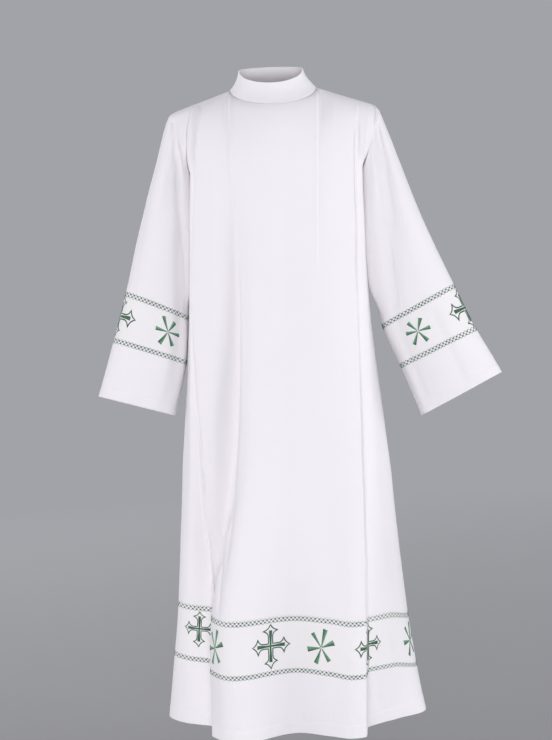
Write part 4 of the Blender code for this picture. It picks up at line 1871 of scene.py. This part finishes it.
@dataclass
class Embroidery:
    """The crosses, stars and lattice trims of one band after another.

    drops is how far the middles of the upper and of the lower trim run below the band's edges.
    """

    thread: bpy.types.Material
    trim: bpy.types.Material
    drops: dict[Side, tuple[float, float]] = field(default_factory=lambda: {
        Side.FRONT: (0.0072, 0.0004),
        Side.BACK: (0.0072, 0.0004),
        Side.LEFT: (0.0020, 0.0020),
        Side.RIGHT: (-0.0015, -0.0035),
    })

    def body(self, side: Side, grid: Grid) -> list[bpy.types.Object]:
        """Sews the skirt's band on one side.

        Args:
            side: The side.
            grid: Its folded cloth.

        Returns:
            The pieces of embroidery.
        """
        heights = grid.along[:, grid.points.shape[1] // 2]
        middle = self.row_at(heights, (BAND_TOP + BAND_BOTTOM) / 2)
        spots = []
        for motif in SKIRT_MOTIFS[side]:
            row = grid.points[int(middle)]
            column = self.outer_column(row, motif.around, side is Side.FRONT)
            spots.append((motif, Spot(grid, middle, column)))
        rows = [self.row_at(heights, edge) for edge in (BAND_TOP, BAND_BOTTOM)]
        return self.sew(side, "skirt", spots, rows, grid)

    def outer_column(self, row: np.ndarray, x: float, front: bool) -> float:
        """The column where a row of points reaches x, on its outermost layer.

        Args:
            row: The points.
            x: The place wanted.
            front: Whether the outermost layer is the one furthest forward.

        Returns:
            The column's number, with its share of the way to the next.
        """
        off = row[:, 0] - x
        hits = np.nonzero(off[:-1] * off[1:] <= 0)[0]
        depth = row[hits, 1]
        i = int(hits[np.argmin(depth) if front else np.argmax(depth)])
        return i + float(off[i] / (off[i] - off[i + 1]))

    def row_at(self, values: np.ndarray, wanted: float) -> float:
        """The row where a falling or rising column of values reaches one.

        Args:
            values: The column.
            wanted: The value wanted.

        Returns:
            The row's number, with its share of the way to the next.
        """
        rows = np.arange(len(values), dtype=float)
        if values[0] > values[-1]:
            return float(np.interp(-wanted, -values, rows))
        return float(np.interp(wanted, values, rows))

    def sleeve(self, side: Side, grid: Grid) -> list[bpy.types.Object]:
        """Sews a sleeve's band.

        Args:
            side: The sleeve's side.
            grid: Its folded cloth.

        Returns:
            The pieces of embroidery.
        """
        places = grid.along[:, 0]
        middle = self.row_at(places, (SLEEVE_BAND_TOP + SLEEVE_BAND_BOTTOM) / 2)
        spots = []
        for motif in SLEEVE_MOTIFS[side]:
            column = np.interp(motif.around, grid.around[0], np.arange(grid.points.shape[1]))
            spots.append((motif, Spot(grid, middle, float(column))))
        rows = [self.row_at(places, edge) for edge in (SLEEVE_BAND_TOP, SLEEVE_BAND_BOTTOM)]
        return self.sew(side, "arm", spots, rows, grid)

    def heights(self, grid: Grid, spot: Spot) -> tuple[np.ndarray, np.ndarray]:
        """Heights above a spot along its column, rising, with the rows that they are on.

        Args:
            grid: The folded cloth.
            spot: The spot.

        Returns:
            The heights and the rows.
        """
        run = grid.run[:, int(round(spot.column))]
        rows = np.arange(len(run), dtype=float)
        above = np.interp(spot.row, rows, run) - run
        return above[::-1], rows[::-1]

    def sew(self, side: Side, part: str, spots: Sequence[tuple[Motif, Spot]],
            rows: Sequence[float], grid: Grid) -> list[bpy.types.Object]:
        """Sews motifs and trims, and gathers them into pieces.

        Args:
            side: The side that the band is on.
            part: What the band is on, as the pieces' names have it.
            spots: The motifs, with where each stands.
            rows: The rows of the band's two edges.
            grid: The folded cloth.

        Returns:
            The pieces.
        """
        motifs = Stitching()
        for motif, spot in spots:
            raised = float(np.interp(motif.up, *self.heights(grid, spot)))
            motif.form.sew(motifs, Spot(grid, raised, spot.column), motif.size)
        trims = Stitching()
        trim = LatticeTrim()
        for row, drop in zip(rows, self.drops[side]):
            length = float(np.interp(row, np.arange(len(grid.arc)), grid.arc[:, -1]))
            trim.sew(trims, Spot(grid, row, 0.0), length, -drop)
        return [
            motifs.piece(f"{part}_motifs_{side.value}", self.thread, BAND_SLOT),
            trims.piece(f"{part}_trims_{side.value}", self.trim, BAND_SLOT),
        ]


# ---- The finishes, folds, motifs and cuts of this garment --------------------------------

ROBE_CLOTH = ClothFinish("robe_cloth", (0.828, 0.806, 0.836), (0.802, 0.780, 0.812))
BAND_CLOTH = ClothFinish("embroidered_band", (0.826, 0.810, 0.822), (0.800, 0.784, 0.796))
SATIN_THREAD = ThreadFinish("satin_thread", (0.001, 0.060, 0.020), (0.19, 0.53, 0.30))
TRIM_THREAD = ThreadFinish("trim_thread", (0.001, 0.095, 0.034), (0.012, 0.30, 0.12))

# The front of the body, as (height, x): the tucks below the collar, the soft folds of the
# chest and skirt, and the small creases by the embroidery.
FRONT_FOLDS: tuple[Crease | Wrinkle, ...] = (
    Crease(Fold.RIDGE, ((-0.007, -0.0922), (-0.052, -0.0927), (-0.116, -0.0942), (-0.182, -0.0966),
                        (-0.226, -0.0982)), 0.0028, (0.0032, 0.0032), 0.0012, (0.004, 0.06)),
    Crease(Fold.TROUGH, ((-0.007, -0.1000), (-0.042, -0.1000)), 0.0010, (0.002, 0.002), 0.001,
           (0.004, 0.02)),
    Crease(Fold.TROUGH, ((-0.007, -0.0845), (-0.042, -0.0845)), 0.0010, (0.002, 0.002), 0.001,
           (0.004, 0.02)),
    Crease(Fold.LAP_RIGHT, ((-0.007, 0.1044), (-0.059, 0.1012), (-0.145, 0.0971), (-0.255, 0.0927),
                            (-0.453, 0.0853)), 0.0020, (0.010, 0.030), 0.001, (0.004, 0.12), 0.0007),
    Crease(Fold.RIDGE, ((-0.007, 0.1010), (-0.059, 0.0978), (-0.145, 0.0937), (-0.255, 0.0893),
                        (-0.453, 0.0819)), 0.0011, (0.005, 0.002), 0.001, (0.004, 0.12)),
    Crease(Fold.TROUGH, ((-0.058, 0.0286), (-0.253, 0.0210), (-0.695, 0.0041), (-1.050, -0.0096)),
           0.0026, (0.026, 0.034), 0.012, (0.10, 0.20)),
    Crease(Fold.TROUGH, ((-0.215, -0.0940), (-0.336, -0.0930), (-0.509, -0.0930), (-0.686, -0.1010),
                         (-0.850, -0.1160), (-0.967, -0.1300), (-1.061, -0.1450), (-1.130, -0.1560)),
           0.0060, (0.015, 0.012), 0.004, (0.14, 0.16)),
    Crease(Fold.TROUGH, ((-0.880, -0.1350), (-1.000, -0.1480), (-1.100, -0.1590), (-1.185, -0.1650)),
           0.0055, (0.008, 0.010), 0.003, (0.12, 0.06)),
    Crease(Fold.LAP_RIGHT, ((-0.520, -0.1985), (-0.700, -0.1960), (-0.850, -0.1922), (-0.965, -0.1882),
                            (-1.065, -0.1832), (-1.140, -0.1780)), 0.0042, (0.004, 0.014), 0.001,
           (0.30, 0.06), 0.0010),
    Crease(Fold.TROUGH, ((-0.168, -0.1510), (-0.202, -0.1478), (-0.240, -0.1469)), 0.0016,
           (0.005, 0.006), 0.003, (0.02, 0.03)),
    Crease(Fold.RIDGE, ((-0.043, 0.1885), (-0.103, 0.1947), (-0.148, 0.1946)), 0.0012,
           (0.003, 0.003), 0.0015, (0.012, 0.03)),
    Crease(Fold.TROUGH, ((-0.070, 0.1850), (-0.102, 0.1824), (-0.192, 0.1783), (-0.300, 0.1745)),
           0.0016, (0.002, 0.007), 0.0012, (0.02, 0.08)),
    Crease(Fold.TROUGH, ((-0.360, -0.030), (-0.640, -0.036), (-0.960, -0.046)), 0.0016,
           (0.022, 0.022), 0.010, (0.14, 0.16)),
    Crease(Fold.TROUGH, ((-0.520, 0.132), (-0.800, 0.128), (-1.120, 0.122)), 0.0022,
           (0.016, 0.020), 0.008, (0.16, 0.14)),
    Crease(Fold.TROUGH, ((-0.760, 0.178), (-0.960, 0.176), (-1.240, 0.170), (-1.400, 0.166)),
           0.0030, (0.003, 0.016), 0.002, (0.16, 0.04)),
    Wrinkle((-1.219, 0.0827), (-1.272, 0.1459), 0.0011, 0.0060),
    Wrinkle((-1.189, 0.1852), (-1.299, 0.2390), 0.0015, 0.0085),
    Wrinkle((-1.2150, -0.0075), (-1.2260, 0.0080), -0.0009, 0.0018),
    Crease(Fold.TROUGH, ((-1.335, -0.1017), (-1.436, -0.0970)), 0.0012, (0.007, 0.007), 0.003,
           (0.03, 0.001)),
    Crease(Fold.TROUGH, ((-1.340, -0.0583), (-1.441, -0.0535)), 0.0010, (0.006, 0.006), 0.003,
           (0.03, 0.001)),
    Crease(Fold.TROUGH, ((-1.300, 0.195), (-1.441, 0.205)), 0.0014, (0.010, 0.010), 0.004,
           (0.03, 0.001)),
)
BACK_FOLDS: tuple[Crease | Wrinkle, ...] = (
    Crease(Fold.LAP_LEFT, ((0.012, -0.0930), (-0.120, -0.0900), (-0.300, -0.0840)), 0.0012,
           (0.028, 0.010), 0.001, (0.004, 0.12), 0.0004),
    Crease(Fold.LAP_RIGHT, ((0.012, 0.0930), (-0.120, 0.0905), (-0.340, 0.0850)), 0.0012,
           (0.010, 0.028), 0.001, (0.004, 0.12), 0.0004),
    Crease(Fold.TROUGH, ((-0.260, 0.040), (-0.600, 0.046), (-0.950, 0.056), (-1.428, 0.064)),
           0.0075, (0.022, 0.028), 0.010, (0.22, 0.001)),
    Crease(Fold.TROUGH, ((-0.400, -0.052), (-0.750, -0.062), (-1.100, -0.072), (-1.428, -0.080)),
           0.0065, (0.026, 0.022), 0.010, (0.26, 0.001)),
    Crease(Fold.RIDGE, ((-0.340, -0.008), (-0.700, -0.010), (-1.428, -0.014)), 0.0050,
           (0.030, 0.030), 0.012, (0.20, 0.001)),
    Crease(Fold.TROUGH, ((-0.180, -0.150), (-0.420, -0.150), (-0.640, -0.158)), 0.0030,
           (0.012, 0.014), 0.006, (0.06, 0.16)),
    Crease(Fold.TROUGH, ((-0.180, 0.152), (-0.380, 0.150), (-0.560, 0.152)), 0.0026,
           (0.014, 0.012), 0.006, (0.06, 0.14)),
    Wrinkle((-1.195, -0.150), (-1.262, -0.108), 0.0012, 0.0070),
    Wrinkle((-1.215, 0.112), (-1.286, 0.164), 0.0013, 0.0075),
)
BODY_FOLDS = {Side.FRONT: FRONT_FOLDS, Side.BACK: BACK_FOLDS}
# The sleeves, as (ring, degrees): the long fold from the shoulder to the cuff, the small
# creases of the sleeve's head, and the cloth that gathers towards the body.
SLEEVE_FOLDS: dict[Side, tuple[Crease | Wrinkle, ...]] = {
    Side.LEFT: (
        Crease(Fold.TROUGH, ((1.93, 141), (2.25, 102), (2.55, 86), (3.00, 74), (3.23, 67), (3.55, 51),
                             (4.12, 35), (4.75, 23), (5.20, 16)), 0.0072, (0.018, 0.008), 0.002,
               (0.010, 0.06)),
        Crease(Fold.RIDGE, ((1.62, 117), (2.08, 86), (2.43, 67), (2.85, 55)), 0.0034,
               (0.006, 0.006), 0.003, (0.010, 0.05)),
        Crease(Fold.TROUGH, ((1.10, 86), (1.33, 59), (2.38, 43)), 0.0030, (0.004, 0.004), 0.002,
               (0.004, 0.03)),
        Crease(Fold.RIDGE, ((1.15, 24), (2.20, 19), (3.20, 17), (4.40, 17), (4.95, 17)), 0.0110,
               (0.014, 0.013), 0.005, (0.02, 0.05)),
        Crease(Fold.TROUGH, ((2.10, 250), (3.20, 262), (4.60, 282), (6.95, 292)), 0.0060,
               (0.014, 0.018), 0.004, (0.05, 0.03)),
        Crease(Fold.TROUGH, ((3.40, 150), (4.60, 138), (6.00, 132)), 0.0020, (0.012, 0.012), 0.005,
               (0.06, 0.06)),
    ),
    Side.RIGHT: (
        Crease(Fold.TROUGH, ((1.93, 145), (2.30, 117), (2.70, 109), (3.20, 98), (3.62, 94), (4.05, 86),
                             (4.80, 69), (5.03, 60), (6.12, 44), (6.95, 41)), 0.0075, (0.013, 0.008),
               0.002, (0.010, 0.03)),
        Crease(Fold.RIDGE, ((1.55, 110), (2.10, 84), (2.60, 76), (3.40, 66)), 0.0032,
               (0.006, 0.006), 0.003, (0.010, 0.06)),
        Crease(Fold.TROUGH, ((5.10, 101), (5.70, 98), (6.30, 96), (6.95, 96)), 0.0034,
               (0.012, 0.006), 0.002, (0.03, 0.03)),
        Crease(Fold.RIDGE, ((1.01, 26), (1.60, 25), (2.20, 21), (3.20, 16), (4.40, 14), (4.85, 14)),
               0.0115, (0.016, 0.013), 0.005, (0.004, 0.05)),
        Crease(Fold.TROUGH, ((2.10, 252), (3.20, 266), (4.60, 280), (6.95, 296)), 0.0055,
               (0.016, 0.014), 0.004, (0.05, 0.03)),
        Crease(Fold.TROUGH, ((3.60, 146), (4.80, 134), (6.20, 128)), 0.0018, (0.012, 0.012), 0.005,
               (0.06, 0.06)),
    ),
}
CROSS = BuddedCross()
SLEEVE_CROSS = BuddedCross(arms=(Arm(87.5, 0.0283, (0.0272, 0.0285), (0.0160, 0.0150), 0.0394),
                                 Arm(178.6, 0.0323, (0.0308, 0.0308), (0.0190, 0.0177), 0.0441),
                                 Arm(268.5, 0.0289, (0.0272, 0.0306), (0.0150, 0.0145), 0.0414),
                                 Arm(0.5, 0.0340, (0.0325, 0.0316), (0.0168, 0.0183), 0.0455)))
STAR = RayStar()
LEFT_STAR = RayStar(rays=((114.0, 0.0345, 0.0090), (60.0, 0.0300, 0.0098), (2.0, 0.0300, 0.0088),
                          (-63.0, 0.0310, 0.0096), (-118.0, 0.0345, 0.0100), (180.0, 0.0290, 0.0092)))
RIGHT_STAR = RayStar(rays=((54.0, 0.0295, 0.0098), (-9.0, 0.0290, 0.0092), (-70.0, 0.0305, 0.0096),
                           (-133.0, 0.0320, 0.0092), (166.0, 0.0285, 0.0094), (116.0, 0.0300, 0.0088)))
SKIRT_MOTIFS = {
    Side.FRONT: (
        Motif(CROSS, -0.2118, 0.0075, 0.82),
        Motif(STAR, -0.1720, -0.0037),
        Motif(CROSS, -0.0492, -0.0015),
        Motif(STAR, 0.0626, -0.0058),
        Motif(CROSS, 0.1655, -0.0011),
        Motif(STAR, 0.2677, -0.0033),
    ),
    Side.BACK: (
        Motif(CROSS, 0.2080),
        Motif(STAR, 0.1260),
        Motif(CROSS, 0.0420),
        Motif(STAR, -0.0430),
        Motif(CROSS, -0.1270),
        Motif(STAR, -0.2090),
    ),
}
SLEEVE_MOTIFS = {
    Side.LEFT: (
        Motif(LEFT_STAR, 74.3),
        Motif(SLEEVE_CROSS, 165.2, 0.0010, 1.18),
        Motif(STAR, 270.0, 0.0, 0.9),
    ),
    Side.RIGHT: (
        Motif(RIGHT_STAR, 80.2, 0.0040),
        Motif(SLEEVE_CROSS, 163.8, 0.0020, 1.19),
        Motif(STAR, 270.0, 0.0, 0.9),
    ),
}
PANEL = Cut("panel_{side}", "{side}", PLAIN_SLOT, (0.92, 1.33), 0.72, ("stand_collar",))
SKIRT_BAND = Cut("skirt_band_{side}", "hem_band_{side}", BAND_SLOT, (0.92, 0.125), None,
                 ("panel_{side}",))
SKIRT_HEM = Cut("skirt_hem_{side}", "hem_{side}", PLAIN_SLOT, (0.96, 0.142), None,
                ("skirt_band_{side}",))
ARM = Cut("arm_{side}", "sleeve_{side}", PLAIN_SLOT, (0.46, 0.44), 0.18,
          ("panel_front", "panel_back"))
ARM_BAND = Cut("arm_band_{side}", "sleeve_band_{side}", BAND_SLOT, (0.48, 0.108), None,
               ("arm_{side}",))
ARM_CUFF = Cut("arm_cuff_{side}", "cuff_{side}", PLAIN_SLOT, (0.49, 0.127), None,
               ("arm_band_{side}",))
STAND_COLLAR = Cut("stand_collar", "collar", PLAIN_SLOT, (0.50, 0.05), None,
                   ("panel_front", "panel_back"), COLLAR_WALL)


# ---- Studio ------------------------------------------------------------------------------


@dataclass(frozen=True)
class Light:
    """A soft square light."""

    name: str
    place: tuple[float, float, float]
    aim: tuple[float, float, float]
    size: float
    watts: float
    colour: tuple[float, float, float] = (1.0, 1.0, 1.0)


@dataclass(frozen=True)
class Studio:
    """The camera, the floor and soft light."""

    eye: tuple[float, float, float] = (-0.0138, -3.6, -0.30)
    pitch: float = math.radians(5.4)
    roll: float = math.radians(2.2)
    sensor: float = 36.0
    focal_share: float = 1565 / 740
    floor: float = -1.62
    floor_size: float = 80.0
    lights: tuple[Light, ...] = (
        Light("right_light", (4.9, -1.3, -0.3), (0.0, 0.0, -1.4), 3.4, 152.0, (0.985, 0.99, 1.0)),
        Light("left_light", (-4.9, -1.6, -0.4), (0.0, 0.0, -1.4), 3.4, 108.0, (1.0, 0.975, 0.985)),
        Light("front_light", (-0.4, -6.2, -0.3), (0.0, 0.0, -1.2), 3.0, 230.0, (1.0, 0.98, 0.99)),
        Light("back_light", (-1.6, 4.8, 0.8), (0.0, 0.0, -0.7), 3.6, 150.0),
    )

    def build(self) -> None:
        """Builds the studio."""
        self.set_camera()
        for light in self.lights:
            self.add_light(light)
        self.add_floor()
        world = bpy.data.worlds.new("air")
        world.use_nodes = True
        world.node_tree.nodes["Background"].inputs[0].default_value = (*AIR, 1.0)
        bpy.context.scene.world = world
        bpy.context.scene.view_settings.view_transform = "Standard"

    def set_camera(self) -> None:
        """Places the camera: pitched down a little and rolled."""
        back = np.array((0.0, -math.cos(self.pitch), math.sin(self.pitch)))
        up = np.array((0.0, math.sin(self.pitch), math.cos(self.pitch)))
        right = np.array((1.0, 0.0, 0.0))
        cos, sin = math.cos(self.roll), math.sin(self.roll)
        lens = bpy.data.cameras.new("camera")
        lens.sensor_width = self.sensor
        lens.lens = self.sensor * self.focal_share
        axes = (right * cos - up * sin, right * sin + up * cos, back)
        bpy.context.scene.camera = self.stand("camera", lens, axes, self.eye)

    def stand(self, name: str, data: bpy.types.ID, axes: Sequence[np.ndarray],
              place: Sequence[float]) -> bpy.types.Object:
        """Stands a camera or a lamp in the scene.

        Args:
            name: Its name.
            data: The camera or the lamp.
            axes: Its own right, up and backward directions.
            place: Where it stands.

        Returns:
            The object.
        """
        columns = np.eye(4)
        columns[:3, :3] = np.stack(axes, axis=1)
        columns[:3, 3] = place
        thing = bpy.data.objects.new(name, data)
        thing.matrix_world = columns.T.tolist()
        bpy.context.scene.collection.objects.link(thing)
        return thing

    def add_light(self, light: Light) -> None:
        """Adds one light, turned to what it lights.

        Args:
            light: The light.
        """
        data = bpy.data.lights.new(light.name, "AREA")
        data.size = light.size
        data.energy = light.watts
        data.color = light.colour
        back = unit(np.array(light.place) - np.array(light.aim))
        side = unit(np.cross((0.0, 0.0, 1.0), back))
        lamp = self.stand(light.name, data, (side, np.cross(back, side), back), light.place)
        lamp.visible_camera = False

    def add_floor(self) -> None:
        """Adds the floor."""
        bpy.ops.object.select_all(action="DESELECT")
        bpy.ops.mesh.primitive_plane_add(size=self.floor_size, location=(0.0, 0.0, self.floor))
        floor = bpy.context.active_object
        floor.name = "studio_floor"
        bpy.ops.object.transform_apply(location=True, rotation=True, scale=True)
        floor.data.materials.append(StudioFinish().material())


def main() -> None:
    """Builds the garment piece by piece, then the studio round it."""
    logging.basicConfig(level=logging.INFO, format="%(name)s %(message)s")
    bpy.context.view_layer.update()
    plain, band, thread, trim = (
        finish.material() for finish in (ROBE_CLOTH, BAND_CLOTH, SATIN_THREAD, TRIM_THREAD)
    )
    loft = BodyLoft()
    embroidery = Embroidery(thread, trim)
    Body(loft, plain, band).build(embroidery.body)
    for side, sections in ((Side.LEFT, SLEEVE_LEFT), (Side.RIGHT, SLEEVE_RIGHT)):
        sleeve = SleeveLoft(loft, side is Side.LEFT, sections)
        Sleeve(sleeve, side, plain, band).build(embroidery.sleeve)
    Collar(loft, plain).build()
    Studio().build()


if __name__ == "__main__":
    main()
